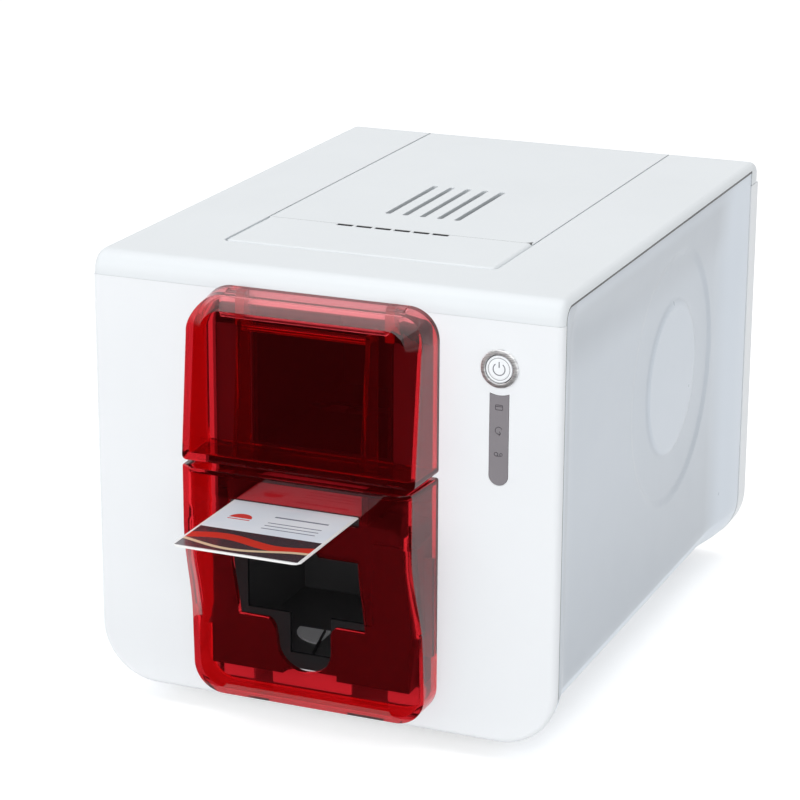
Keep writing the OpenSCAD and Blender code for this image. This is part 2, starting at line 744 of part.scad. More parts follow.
switch_h = 1.4;
module power_button() color([0.95, 0.95, 0.96]) in_casing() translate([control_x, 0, button_z]) {
    rod_y(button_r, -1.1, 1);
    rod_y(2, 1 - eps, board_y - switch_h - button_gap - button_travel);
}

module lamp_strip() color([0.5, 0.51, 0.53]) in_casing() along_y(-0.3, wall) strip_outline(0);

module lamp_board() color([0.1, 0.35, 0.2]) in_casing() {
    block([control_x - 7.5, board_y, strip_low - 8], [post_x + 3, board_y + 1.6, button_z + ring_tube_r + 7]);
    translate([control_x, 0, button_z])
        block([-3, board_y - switch_h, -3], [3, board_y + eps, 3]);
    for (share = [0.27, 0.47, 0.67])
        translate([control_x, 0, strip_low + share * (button_z - strip_low)])
            rod_y(1.5, board_y - 2.5, board_y + eps);
}

// ---- Chassis ----

spool_hub_r = 5;
plate_front = wall + 3.5;
plate_rear = hinge_y - 12;
module chassis_plate_outline() difference() {
    union() {
        polygon([
            [plate_front, base_top], [plate_rear, base_top], [plate_rear, hinge_z - 14],
            [hinge_y + 4.5, hinge_z - 4], [hinge_y + 4.5, hinge_z], [hinge_y - 4.5, hinge_z + 2],
            [plate_rear - 28, spool_z + 22], [take_up_y - 18, spool_z + 22],
            [take_up_y - 34, hinge_z - 8], [plate_front + 12, hinge_z - 8], [plate_front, feed_z + 14]]);
        translate([hinge_y, hinge_z]) circle(hinge_pin_r + 2.5);
    }
    // Large lightening holes under the card path
    translate([front_roller_y + 4, (base_top + roller_z) / 2 - 6]) circle(20);
    translate([plate_rear - 38, (base_top + roller_z) / 2]) circle(20);
}

module chassis_plate(x0) difference() {
    along_x(x0, x0 + plate_t) chassis_plate_outline();
    for (y = [exit_y, front_roller_y, rear_roller_y, platen_y])
        translate([0, y, roller_z]) rod_x(shaft_r + run_fit, x0 - 1, x0 + plate_t + 1);
    translate([0, feed_y, feed_z]) rod_x(feed_shaft_r + run_fit, x0 - 1, x0 + plate_t + 1);
    translate([0, hinge_y, hinge_z]) rod_x(hinge_pin_r + run_fit, x0 - 1, x0 + plate_t + 1);
    translate([0, rear_idler_y, motor_z]) rod_x(motor_shaft_r + 1, x0 - 1, x0 + plate_t + 1);
}

module chassis_flanges(side) for (y = screw_ys) difference() {
    near = min(side * (plate_x + eps), side * (plate_x - 12));
    far = max(side * (plate_x + eps), side * (plate_x - 12));
    block([near, y - 8, base_top], [far, y + 8, base_top + flange_t]);
    translate([side * screw_x, y, base_top - 1]) cylinder(r = screw_r, h = flange_t + 2);
}

module left_chassis_plate() color([0.68, 0.7, 0.72]) in_casing() {
    chassis_plate(-plate_x - plate_t);
    chassis_flanges(-1);
}

idler_pin_r = 2.5;
module right_chassis_plate() color([0.68, 0.7, 0.72]) in_casing() {
    chassis_plate(plate_x);
    chassis_flanges(1);
    for (y = [front_idler_y, middle_idler_y, rear_idler_y])
        translate([0, y, roller_z]) {
            rod_x(idler_pin_r, plate_x + plate_t - eps, gear_x + gear_w + 0.6);
            rod_x(idler_pin_r + 2, plate_x + plate_t - eps, gear_x - 0.3);
        }
}

rod_places = [[bin_rear + 10, bin_floor + 10], [bin_rear + 14, base_top + 12],
              [plate_rear - 8, base_top + 12], [plate_rear - 6, spool_z - supply_r - 14]];
module chassis_rods() color([0.75, 0.76, 0.78]) in_casing()
    for (place = rod_places) translate([0, place[0], place[1]]) rod_x(3, -plate_x, plate_x);

rail_rear = platen_y + 40;
rail_ledge = 3;
module card_rail(side) difference() {
    union() {
        wall_near = min(side * rail_x, side * (rail_x + rail_t));
        wall_far = max(side * rail_x, side * (rail_x + rail_t));
        ledge_near = min(side * (card_w / 2 - rail_ledge), side * (rail_x + eps));
        ledge_far = max(side * (card_w / 2 - rail_ledge), side * (rail_x + eps));
        block([wall_near, sill_front, path_z - 2.7], [wall_far, rail_rear, pinch_z + 3.4]);
        block([ledge_near, sill_front, path_z - 2.7], [ledge_far, rail_rear, path_z - card_gap]);
        for (y = [34, rear_roller_y - 22, platen_y + 20]) {
            near = min(side * (rail_x + rail_t - eps), side * plate_x);
            far = max(side * (rail_x + rail_t - eps), side * plate_x);
            block([near, y, path_z - 2.7], [far, y + 6, path_z + 1.5]);
        }
    }
    for (y = [exit_y, front_roller_y, rear_roller_y])
        translate([0, y, pinch_z]) rod_x(pinch_shaft_r + run_fit, -half_w, half_w);
    for (y = [exit_y, front_roller_y, rear_roller_y, platen_y])
        translate([0, y, roller_z]) rod_x(shaft_r + 0.6, -half_w, half_w);
    // Room for the print head and the ribbon web between the rails
    block([-half_w, platen_y - 24, path_z + 0.4], [half_w, platen_y + 18, pinch_z + 5]);
}

module card_rails() color([0.16, 0.16, 0.17]) in_casing() {
    card_rail(-1);
    card_rail(1);
}

sill_front = -lip_reach + hood_wall + 1.5;
module exit_sill() color([0.1, 0.1, 0.11]) in_casing() {
    half = card_w / 2 - rail_ledge;
    block([-half, sill_front, path_z - card_gap - 1.2], [half, exit_y - roller_r - 1, path_z - card_gap]);
    // Stiffening ribs under the sill
    for (x = [-half / 2, half / 2])
        block([x - 0.8, sill_front + 1, path_z - 3],
              [x + 0.8, exit_y - roller_r - 1, path_z - card_gap - 1.2 + eps]);
}

// ---- Rollers ----

roller_half = 22;
feed_shaft_r = 2.5;
motor_shaft_r = 2.5;
shaft_left = -plate_x - plate_t - 1.5;
shaft_right = gear_x + gear_w + 0.5;
module driven_roller(y) color([0.2, 0.2, 0.22]) in_casing() translate([0, y, roller_z]) {
    rod_x(roller_r, -roller_half, roller_half);
    rod_x(shaft_r, shaft_left, shaft_right);
}

module exit_roller() driven_roller(exit_y);
module front_roller() driven_roller(front_roller_y);
module rear_roller() driven_roller(rear_roller_y);
module platen_roller() driven_roller(platen_y);

module feed_roller() color([0.25, 0.25, 0.27]) in_casing() translate([0, feed_y, feed_z]) {
    for (x = [-roller_half + 2, roller_half - 10]) rod_x(feed_r, x, x + 8);
    rod_x(feed_shaft_r, shaft_left, shaft_right);
}

module pinch_roller(y) color([0.75, 0.76, 0.78]) in_casing() translate([0, y, pinch_z]) {
    rod_x(pinch_r, -11, 11);
    rod_x(pinch_shaft_r, -rail_x - rail_t - 1, rail_x + rail_t + 1);
}

module exit_pinch_roller() pinch_roller(exit_y);
module front_pinch_roller() pinch_roller(front_roller_y);
module rear_pinch_roller() pinch_roller(rear_roller_y);

// ---- Gears ----

// Angle between the tooth's middle and its flank at radius r, for a 20 degree involute
function involute(a) = tan(a) * 180 / PI - a;
function flank_angle(teeth, r) =
    let (pitch = gear_mod * teeth / 2, base = pitch * cos(20), a = acos(min(1, base / r)))
    (PI * gear_mod / 2 - backlash) / (2 * pitch) * 180 / PI + involute(20) - involute(a);

module gear_outline(teeth, turn) {
    pitch = gear_mod * teeth / 2;
    root = pitch - 1.2 * gear_mod;
    tip = pitch + 0.95 * gear_mod;
    base = max(pitch * cos(20), root + 0.05);
    radii = [base, (base + tip) / 2, tip];
    polygon([for (i = [0:teeth - 1]) let (mid = turn + i * 360 / teeth) each concat(
        [root * [cos(mid - flank_angle(teeth, base)), sin(mid - flank_angle(teeth, base))]],
        [for (r = radii) r * [cos(mid - flank_angle(teeth, r)), sin(mid - flank_angle(teeth, r))]],
        [for (k = [2:-1:0]) let (r = radii[k])
            r * [cos(mid + flank_angle(teeth, r)), sin(mid + flank_angle(teeth, r))]],
        [root * [cos(mid + flank_angle(teeth, base)), sin(mid + flank_angle(teeth, base))]])]);
}

module gear(y, z, teeth, turn, bore) in_casing() translate([0, y, z]) difference() {
    along_x(gear_x, gear_x + gear_w) gear_outline(teeth, turn);
    rod_x(bore, gear_x - 1, gear_x + gear_w + 1);
}

// Turn that puts a gear in mesh with another whose tooth stands at turn_a
function mesh_turn(turn_a, teeth_a, teeth_b, direction) =
    direction + 180 - (turn_a - direction) * teeth_a / teeth_b + 180 / teeth_b;

idler_turn = mesh_turn(0, roller_teeth, idler_teeth, 0);
module exit_gear() color([0.9, 0.9, 0.86]) gear(exit_y, roller_z, roller_teeth, 0, shaft_r);
module front_gear() color([0.9, 0.9, 0.86]) gear(front_roller_y, roller_z, roller_teeth, 0, shaft_r);
module rear_gear() color([0.9, 0.9, 0.86]) gear(rear_roller_y, roller_z, roller_teeth, 0, shaft_r);
module platen_gear() color([0.9, 0.9, 0.86]) gear(platen_y, roller_z, roller_teeth, 0, shaft_r);
feed_turn = mesh_turn(idler_turn, idler_teeth, pinion_teeth, feed_angle);
module feed_gear() color([0.9, 0.9, 0.86])
    gear(feed_y, feed_z, pinion_teeth, feed_turn, feed_shaft_r);
module front_idler() color([0.86, 0.87, 0.88])
    gear(front_idler_y, roller_z, idler_teeth, idler_turn, idler_pin_r + run_fit);
module middle_idler() color([0.86, 0.87, 0.88])
    gear(middle_idler_y, roller_z, idler_teeth, idler_turn, idler_pin_r + run_fit);
module rear_idler() color([0.86, 0.87, 0.88])
    gear(rear_idler_y, roller_z, idler_teeth, idler_turn, idler_pin_r + run_fit);
pinion_turn = mesh_turn(idler_turn, idler_teeth, pinion_teeth, -90);
module motor_pinion() color([0.8, 0.68, 0.35]) {
    gear(rear_idler_y, motor_z, pinion_teeth, pinion_turn, motor_shaft_r);
    in_casing() translate([0, rear_idler_y, motor_z])
        rod_x(motor_shaft_r, plate_x - 12, gear_x + gear_w + 0.5);
}

module feed_motor() color([0.2, 0.2, 0.22]) in_casing() translate([0, rear_idler_y, motor_z]) difference() {
    union() {
        block([plate_x - 34, -motor_w / 2, -motor_w / 2], [plate_x - 26, motor_w / 2, motor_w / 2]);
        intersection() {
            block([plate_x - 27, -motor_w / 2, -motor_w / 2], [plate_x - 7, motor_w / 2, motor_w / 2]);
            rod_x(motor_w * 0.62, plate_x - 27, plate_x - 7);
        }
        block([plate_x - 8, -motor_w / 2, -motor_w / 2], [plate_x, motor_w / 2, motor_w / 2]);
    }
    rod_x(motor_shaft_r + run_fit, plate_x - 13, plate_x + 1);
}

// ---- Ribbon ----

ribbon_half = 30;
core_r = 7.5;
module spool_hubs() color([0.2, 0.2, 0.22]) in_casing()
    for (y = [take_up_y, supply_y]) for (side = [-1, 1]) translate([0, y, spool_z]) {
        rod_x(spool_hub_r - run_fit, min(side * 24, side * 35), max(side * 24, side * 35));
        rod_x(9, min(side * 34, side * plate_x), max(side * 34, side * plate_x));
    }

module spool(y, r) translate([0, y, spool_z]) difference() {
    union() {
        rod_x(core_r, -33.5, 33.5);
        rod_x(r, -ribbon_half, ribbon_half);
    }
    rod_x(spool_hub_r, -40, 40);
}

module ribbon_supply() color([0.1, 0.1, 0.14]) in_casing() spool(supply_y, supply_r);
module ribbon_take_up() color([0.1, 0.1, 0.14]) in_casing() spool(take_up_y, take_up_r);

// Point where a line from p touches a circle, on the side that faces away from the print head
function touch_point(p, centre, r, side) =
    let (v = centre - p, d = norm(v), a = atan2(v[1], v[0]) - side * asin(r / d))
    p + sqrt(d * d - r * r) * [cos(a), sin(a)];

// The web leaves the supply spool, passes under the print head and rises to the take-up spool
module ribbon_web() color([0.12, 0.12, 0.16]) in_casing() {
    web_z = card_top + card_gap;
    lift = web_t + card_gap;
    front_bend = [platen_y - 8, web_z];
    rear_bend = [platen_y + 8, web_z];
    line = [
        touch_point(front_bend, [take_up_y, spool_z], take_up_r + lift, -1), front_bend, rear_bend,
        touch_point(rear_bend, [supply_y, spool_z], supply_r + lift, 1)];
    along_x(-ribbon_half + 1, ribbon_half - 1)
        polygon(concat(line, [for (i = [3:-1:0]) line[i] + [0, web_t]]));
}

// ---- Electronics ----

// Half width and half height of each socket
inlet_half = [5.5, 6];
usb_half = [6, 5.6];
network_half = [6.8, 8];
port_front = body_d - 17;
port_rear = body_d - 1;
board_front = 132;
board_low = 20;
board_high = body_h - 65.5;

module main_board() color([0.1, 0.35, 0.2]) in_casing() {
    rear = body_d - 15;
    block([board_face, board_front, board_low], [board_face + board_t, rear, board_high]);
    // Processor, memory, driver chips and two capacitors
    block([board_face - 1.6, 180, 60], [board_face + eps, 202, 82]);
    block([board_face - 1.2, 180, 92], [board_face + eps, 190, 106]);
    for (z = [34, 52, 70]) block([board_face - 2, 146, z], [board_face + eps, 158, z + 8]);
    for (z = [34, 50]) translate([0, 222, z]) rod_x(5, board_face - 12, board_face + eps);
}

module board_standoffs() color([0.75, 0.7, 0.5]) in_casing()
    for (y = [board_front + 8, body_d - 36]) for (z = [board_low + 6, board_high - 6])
        translate([0, y, z]) rod_x(3, board_face + board_t, -plate_x - plate_t);

module port(z, half) color([0.15, 0.15, 0.16]) in_casing() translate([board_face - half[0], 0, z]) children();

module power_inlet() port(inlet_z, inlet_half) {
    difference() {
        block([-inlet_half[0], port_front, -inlet_half[1]], [inlet_half[0], port_rear, inlet_half[1]]);
        rod_y(3.2, port_rear - 10, port_rear + 1);
    }
    rod_y(1, port_rear - 11, port_rear - 1);
}

module usb_socket() port(usb_z, usb_half) {
    difference() {
        block([-usb_half[0], port_front, -usb_half[1]], [usb_half[0], port_rear, usb_half[1]]);
        block([-4.3, port_rear - 12, -4], [4.3, port_rear + 1, 4]);
    }
    block([-2.8, port_rear - 13, -1.2], [2.8, port_rear - 2, 1.2]);
}

module network_socket() port(network_z, network_half) difference() {
    block([-network_half[0], port_front, -network_half[1]], [network_half[0], port_rear, network_half[1]]);
    block([-4, port_rear - 13, -6], [4, port_rear + 1, 6]);
    block([-5.6, port_rear - 13, -2.8], [-4 + eps, port_rear + 1, 2.8]);
}

fan_rear = body_d - wall - 0.2;
fan_depth = 10;
fan_pin_r = 1.5;
module fan_frame() color([0.12, 0.12, 0.13]) in_casing() translate([fan_x, 0, fan_z]) {
    difference() {
        block([-fan_w / 2, fan_rear - fan_depth, -fan_w / 2], [fan_w / 2, fan_rear, fan_w / 2]);
        rod_y(fan_w / 2 - 1.5, fan_rear - fan_depth - 1, fan_rear + 1);
        for (x = [-1, 1]) for (z = [-1, 1]) translate([x * (fan_w / 2 - 3.5), 0, z * (fan_w / 2 - 3.5)])
            rod_y(1.5, fan_rear - fan_depth - 1, fan_rear + 1);
    }
    rod_y(8, fan_rear - 2, fan_rear);
    rod_y(fan_pin_r, fan_rear - fan_depth + 1.5, fan_rear - 1);
    for (a = [30, 150, 270]) rotate([0, a, 0])
        block([-1, fan_rear - 1.6, 6], [1, fan_rear, fan_w / 2 - 1.4]);
}

module fan_rotor() color([0.18, 0.18, 0.19]) in_casing() translate([fan_x, 0, fan_z]) difference() {
    union() {
        rod_y(8, fan_rear - fan_depth + 1, fan_rear - 2.6);
        for (i = [0:6]) rotate([0, i * 360 / 7, 0]) translate([0, fan_rear - 6.2, 7])
            rotate([0, 0, 35]) block([-0.6, -3, 0], [0.6, 3, fan_w / 2 - 9.2]);
    }
    rod_y(fan_pin_r + run_fit, fan_rear - fan_depth, fan_rear);
}

// ---- Card ----

module printed_card() color([0.95, 0.95, 0.94]) in_casing() translate([0, 0, path_z]) linear_extrude(card_t) {
    corner = 3.18;
    half = card_w / 2;
    translate([-half + corner, -card_reach]) square([card_w - 2 * corner, card_l]);
    translate([-half, -card_reach + corner]) square([card_w, card_l - 2 * corner]);
    for (x = [-half + corner, half - corner]) for (y = [-card_reach + corner, card_inside - corner])
        translate([x, y]) circle(corner);
}

base_tray();
front_panel();
top_shell();
rear_panel();
left_side_panel();
right_side_panel();
rubber_feet();
casing_screws();
top_lid();
lid_front_strip();
lid_hinge_pins();
lid_catch();
head_bracket();
print_head();
head_springs();
feeder_hood();
feeder_hood_pins();
feeder_bin();
output_hood();
output_bucket();
button_ring();
power_button();
lamp_strip();
lamp_board();
left_chassis_plate();
right_chassis_plate();
chassis_rods();
card_rails();
exit_sill();
exit_roller();
front_roller();
rear_roller();
platen_roller();
feed_roller();
exit_pinch_roller();
front_pinch_roller();
rear_pinch_roller();
exit_gear();
front_gear();
rear_gear();
platen_gear();
feed_gear();
front_idler();
middle_idler();
rear_idler();
motor_pinion();
feed_motor();
spool_hubs();
ribbon_supply();
ribbon_take_up();
ribbon_web();
main_board();
board_standoffs();
power_inlet();
usb_socket();
network_socket();
fan_frame();
fan_rotor();
printed_card();
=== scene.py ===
import math

import bmesh
import bpy
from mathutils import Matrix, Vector


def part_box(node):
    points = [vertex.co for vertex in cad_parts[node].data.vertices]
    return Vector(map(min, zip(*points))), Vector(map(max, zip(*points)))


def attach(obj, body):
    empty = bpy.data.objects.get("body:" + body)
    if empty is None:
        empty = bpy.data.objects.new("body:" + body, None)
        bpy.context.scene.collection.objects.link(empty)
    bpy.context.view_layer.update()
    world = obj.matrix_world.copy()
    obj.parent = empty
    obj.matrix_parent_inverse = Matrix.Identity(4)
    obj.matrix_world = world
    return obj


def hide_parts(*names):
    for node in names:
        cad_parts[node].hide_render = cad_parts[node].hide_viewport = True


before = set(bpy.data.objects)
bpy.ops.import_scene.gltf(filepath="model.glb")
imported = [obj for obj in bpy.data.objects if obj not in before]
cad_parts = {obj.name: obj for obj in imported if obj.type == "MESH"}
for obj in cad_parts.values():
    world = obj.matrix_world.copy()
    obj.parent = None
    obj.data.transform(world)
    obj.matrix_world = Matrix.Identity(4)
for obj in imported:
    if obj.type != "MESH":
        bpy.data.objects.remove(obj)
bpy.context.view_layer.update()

# ----------
# Studio. White paper under the machine, one broad soft panel overhead, a large
# one in front for the face, and a weaker one that models the right side.
bpy.context.scene.view_settings.view_transform = "Standard"

ROOM_STRENGTH = 0.5
ROOM_TINT = (0.96, 0.98, 1.0, 1)
PAPER_LIFT = 0.47
PAPER_HALF = 8.0


def fill_inputs(node, inputs):
    """Sets inputs of a shader node by name; From_Min stands for From Min."""
    for name, value in inputs.items():
        node.inputs[name.replace("_", " ")].default_value = value
    return node


def add_node(tree, kind, **inputs):
    """A new shader node with some of its inputs set."""
    return fill_inputs(tree.nodes.new("ShaderNode" + kind), inputs)


def wire(source, output, target, entry):
    """Leads an output of one node to an input of another."""
    source.id_data.links.new(source.outputs[output], target.inputs[entry])


def new_material(name, **inputs):
    """A new material with some inputs of its main shader set: the material, its tree and that shader."""
    material = bpy.data.materials.new(name)
    material.use_nodes = True
    surface = fill_inputs(material.node_tree.nodes["Principled BSDF"], inputs)
    return material, material.node_tree, surface


def tone_ramp(tree, first, last, start=0.0, end=1.0):
    """A colour ramp from one colour to another."""
    ramp = tree.nodes.new("ShaderNodeValToRGB")
    for element, colour, position in zip(ramp.color_ramp.elements, (first, last), (start, end)):
        element.position = position
        element.color = [*colour, 1]
    return ramp


def feed(tree, value, entry):
    """Gives an input a number, a colour or another node's output."""
    if isinstance(value, bpy.types.NodeSocket):
        tree.links.new(value, entry)
    else:
        entry.default_value = value


def reckon(tree, kind, *values):
    """The result of a maths node on numbers or outputs."""
    node = tree.nodes.new("ShaderNodeMath")
    node.operation = kind
    for value, entry in zip(values, node.inputs):
        feed(tree, value, entry)
    return node.outputs[0]


def shown_rays(tree):
    """1 for rays that show a surface (camera, glossy, transmission), 0 for those that light the scene."""
    ray = add_node(tree, "LightPath").outputs
    seen = reckon(tree, "MAXIMUM", ray["Is Camera Ray"], ray["Is Glossy Ray"])
    return reckon(tree, "MAXIMUM", seen, ray["Is Transmission Ray"])


def soft_step(tree, value, start, full, **ends):
    """0 before start and 1 from full on, or the To_Min and To_Max given, with a soft start and end."""
    step = add_node(tree, "MapRange", From_Min=start, From_Max=full, **ends)
    step.interpolation_type = "SMOOTHSTEP"
    feed(tree, value, step.inputs["Value"])
    return step.outputs[0]


world = bpy.data.worlds.new("studio_world")
world.use_nodes = True
bpy.context.scene.world = world
tree = world.node_tree
tree.nodes.clear()
room = add_node(tree, "Background", Color=ROOM_TINT, Strength=ROOM_STRENGTH)
white = add_node(tree, "Background", Color=(1, 1, 1, 1), Strength=1.0)
choice = add_node(tree, "MixShader")
out = add_node(tree, "OutputWorld")
feed(tree, shown_rays(tree), choice.inputs[0])
wire(room, 0, choice, 1)
wire(white, 0, choice, 2)
wire(choice, 0, out, 0)

LAMP_AIM = Vector((0, 0, 0.1))


def light_panel(name, place, size, power):
    """A soft rectangular lamp that faces the machine, in metres and watts."""
    lamp = bpy.data.lights.new(name, "AREA")
    lamp.shape = "RECTANGLE"
    lamp.size, lamp.size_y = size
    lamp.energy = power
    panel = bpy.data.objects.new(name, lamp)
    bpy.context.scene.collection.objects.link(panel)
    panel.location = place
    panel.rotation_euler = (LAMP_AIM - Vector(place)).to_track_quat("-Z", "Y").to_euler()


light_panel("overhead_panel", (0.0, 0.1, 1.5), (1.6, 1.6), 10.0)
light_panel("front_lamp", (-0.6, -1.9, 0.75), (1.9, 1.5), 17.0)
light_panel("raking_lamp", (0.95, -1.85, 0.7), (0.9, 0.9), 8.0)

CAMERA_PLACE = (0.4464, -1.0909, 0.4872)
CAMERA_TILT = 17.46
CAMERA_TURN = 23.42
camera = bpy.data.cameras.new("camera")
camera.lens = 128.3
camera.sensor_width = 36
camera.shift_x = 0.056
camera.clip_end = 20
viewer = bpy.data.objects.new("camera", camera)
bpy.context.scene.collection.objects.link(viewer)
viewer.location = CAMERA_PLACE
viewer.rotation_euler = (math.radians(90 - CAMERA_TILT), 0, math.radians(CAMERA_TURN))
bpy.context.scene.camera = viewer

paper, tree, surface = new_material(
    "studio_paper", Specular_IOR_Level=0.2, Roughness=0.8, Emission_Color=(1, 1, 1, 1)
)
fibre = add_node(tree, "TexNoise", Scale=40)
shade = tone_ramp(tree, (0.89, 0.89, 0.89), (0.91, 0.91, 0.91))
wire(fibre, "Fac", shade, 0)
wire(shade, 0, surface, "Base Color")
feed(tree, reckon(tree, "MULTIPLY", shown_rays(tree), PAPER_LIFT), surface.inputs["Emission Strength"])


def mesh_object(name, points, faces, material):
    """A new object in the scene with a mesh of these points and faces."""
    mesh = bpy.data.meshes.new(name)
    mesh.from_pydata(points, [], faces)
    mesh.materials.append(material)
    thing = bpy.data.objects.new(name, mesh)
    bpy.context.scene.collection.objects.link(thing)
    return thing


corners = [(PAPER_HALF * x, PAPER_HALF * y, 0) for x, y in ((-1, -1), (1, -1), (1, 1), (-1, 1))]
floor = mesh_object("studio_floor", corners, [(0, 1, 2, 3)], paper)

# Two dark flags in front, one on the paper and one upright, keep the clear hoods
# deep: both are seen in reflections, and the upright one also through the acrylic.
FLAG_LEFT, FLAG_RIGHT = -0.8, 0.35
FLAG_NEAR, FLAG_FAR = -0.126, -0.42
FLAG_LOW, FLAG_TOP = 0.0006, 0.6
FADE_FROM, FADE_TO = 0.27, 0.58
black_felt, tree, surface = new_material("black_felt", Roughness=1.0, Specular_IOR_Level=0.0)
nap = add_node(tree, "TexNoise", Scale=300)
felt_tone = tone_ramp(tree, (0.008, 0.008, 0.008), (0.014, 0.014, 0.014))
place = add_node(tree, "TexCoord")
parts = add_node(tree, "SeparateXYZ")
thinning = soft_step(tree, parts.outputs["Z"], FADE_FROM, FADE_TO)
clear = add_node(tree, "BsdfTransparent")
fade = add_node(tree, "MixShader")
wire(nap, "Fac", felt_tone, 0)
wire(felt_tone, 0, surface, "Base Color")
wire(place, "Object", parts, 0)
feed(tree, thinning, fade.inputs[0])
wire(surface, 0, fade, 1)
wire(clear, 0, fade, 2)
wire(fade, 0, tree.nodes["Material Output"], "Surface")
for name, near, far in (
    ("studio_flag_low", (FLAG_NEAR, FLAG_LOW), (FLAG_FAR, FLAG_LOW)),
    ("studio_flag_high", (FLAG_FAR, FLAG_LOW), (FLAG_FAR, FLAG_TOP)),
):
    corners = [(FLAG_LEFT, *near), (FLAG_RIGHT, *near), (FLAG_RIGHT, *far), (FLAG_LEFT, *far)]
    flag = mesh_object(name, corners, [(0, 1, 2, 3)], black_felt)
    flag.visible_camera = False
    flag.visible_diffuse = False
    flag.visible_transmission = name == "studio_flag_high"
    flag.visible_shadow = False

# ----------
# Base tray. A flat white moulding that closes the underside; every other piece
# is built up from it. Measures are the casing's own millimetres: X from its
# middle, Y from its front face and Z from its underside.
front_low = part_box("front_panel")[0]
CASING_FRONT = front_low.y
CASING_UNDER = front_low.z


def at(x, y, z):
    """A point of the frame, from casing millimetres."""
    return Vector((x * 0.001, CASING_FRONT + y * 0.001, CASING_UNDER + z * 0.001))


def uneven_finish(tree, surface, gloss_by, smooth, rough, relief_by, strength, distance):
    """Lets one texture vary the gloss and another raise fine relief."""
    gloss = add_node(tree, "MapRange", To_Min=smooth, To_Max=rough)
    relief = add_node(tree, "Bump", Strength=strength, Distance=distance)
    wire(gloss_by, "Fac", gloss, "Value")
    wire(gloss, 0, surface, "Roughness")
    wire(relief_by, "Fac", relief, "Height")
    wire(relief, 0, surface, "Normal")


def moulded_plastic(name, colour, mottle=0.012, roughness=0.34, spread=0.05, grain=0.9, depth=0.05):
    """Moulded plastic: faint colour drift, uneven gloss and the fine grain of a spark-finished mould."""
    material, tree, surface = new_material(name)
    place = add_node(tree, "TexCoord")
    drift = add_node(tree, "TexNoise", Scale=14, Detail=3)
    patches = add_node(tree, "TexNoise", Scale=60, Detail=4)
    pits = add_node(tree, "TexNoise", Scale=1000 / grain, Detail=2)
    deep = [max(c * (1 - mottle), 0) for c in colour]
    pale = [min(c * (1 + mottle), 1) for c in colour]
    tone = tone_ramp(tree, deep, pale, 0.3, 0.7)
    for texture in (drift, patches, pits):
        wire(place, "Object", texture, "Vector")
    wire(drift, "Fac", tone, 0)
    wire(tone, 0, surface, "Base Color")
    uneven_finish(tree, surface, patches, roughness - spread, roughness + spread, pits, depth, 0.0002)
    return material


def round_edges(piece, width, angle, segments=2, weight=50):
    """Rounds sharp edges to a width in millimetres and keeps flat faces flat in the light."""
    rounding = piece.modifiers.new("broken_edges", "BEVEL")
    rounding.width = width * 0.001
    rounding.segments = segments
    rounding.limit_method = "ANGLE"
    rounding.angle_limit = math.radians(angle)
    facing = piece.modifiers.new("facing", "WEIGHTED_NORMAL")
    facing.keep_sharp = True
    facing.weight = weight


def dress(name, material, edge=0.25):
    """Gives a solid of the frame its finish and breaks its sharp edges."""
    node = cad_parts[name]
    node.data.materials.clear()
    node.data.materials.append(material)
    if edge:
        weld = node.modifiers.new("weld", "WELD")
        weld.merge_threshold = 0.000005
        round_edges(node, edge, 40)
    return node


WHITE_ABS = (0.80, 0.82, 0.84)
white_moulding = moulded_plastic("white_moulding", WHITE_ABS, roughness=0.3)
dress("base_tray", white_moulding, 0.4)

# ----------
# Chassis. Two zinc-plated steel plates stand on the tray on folded feet,
# held apart by turned rods and screwed from below.
def bare_metal(name, colour, roughness=0.34, brushed=(1, 1, 1), depth=0.08, mottle=0.06):
    """Bare or plated metal with a drawn or spangled surface; brushed stretches the marks along one axis."""
    material, tree, surface = new_material(name, Metallic=1.0)
    place = add_node(tree, "TexCoord")
    stretch = add_node(tree, "Mapping", Scale=brushed)
    marks = add_node(tree, "TexNoise", Scale=420, Detail=5)
    deep = [c * (1 - mottle) for c in colour]
    pale = [min(c * (1 + mottle), 1) for c in colour]
    tone = tone_ramp(tree, deep, pale, 0.35, 0.65)
    wire(place, "Object", stretch, "Vector")
    wire(stretch, "Vector", marks, "Vector")
    wire(marks, "Fac", tone, 0)
    wire(tone, 0, surface, "Base Color")
    uneven_finish(tree, surface, marks, roughness - 0.1, roughness + 0.1, marks, depth, 0.0001)
    return material


zinc_plate = bare_metal("zinc_plate", (0.62, 0.64, 0.66), roughness=0.36, mottle=0.1)
turned_steel = bare_metal("turned_steel", (0.58, 0.59, 0.61), roughness=0.24, brushed=(12, 1, 1))
for plate in ("left_chassis_plate", "right_chassis_plate"):
    dress(plate, zinc_plate, 0.25)
for fixing in ("chassis_rods", "casing_screws"):
    dress(fixing, turned_steel, 0)

# ----------
# Rubber feet. Four moulded buffers with a bevelled tread, pressed into the
# tray from below.
FOOT_BLACK = (0.02, 0.02, 0.021)
foot_rubber = moulded_plastic(
    "foot_rubber", FOOT_BLACK, mottle=0.25, roughness=0.72, spread=0.08, grain=0.5, depth=0.3
)
dress("rubber_feet", foot_rubber, 0)

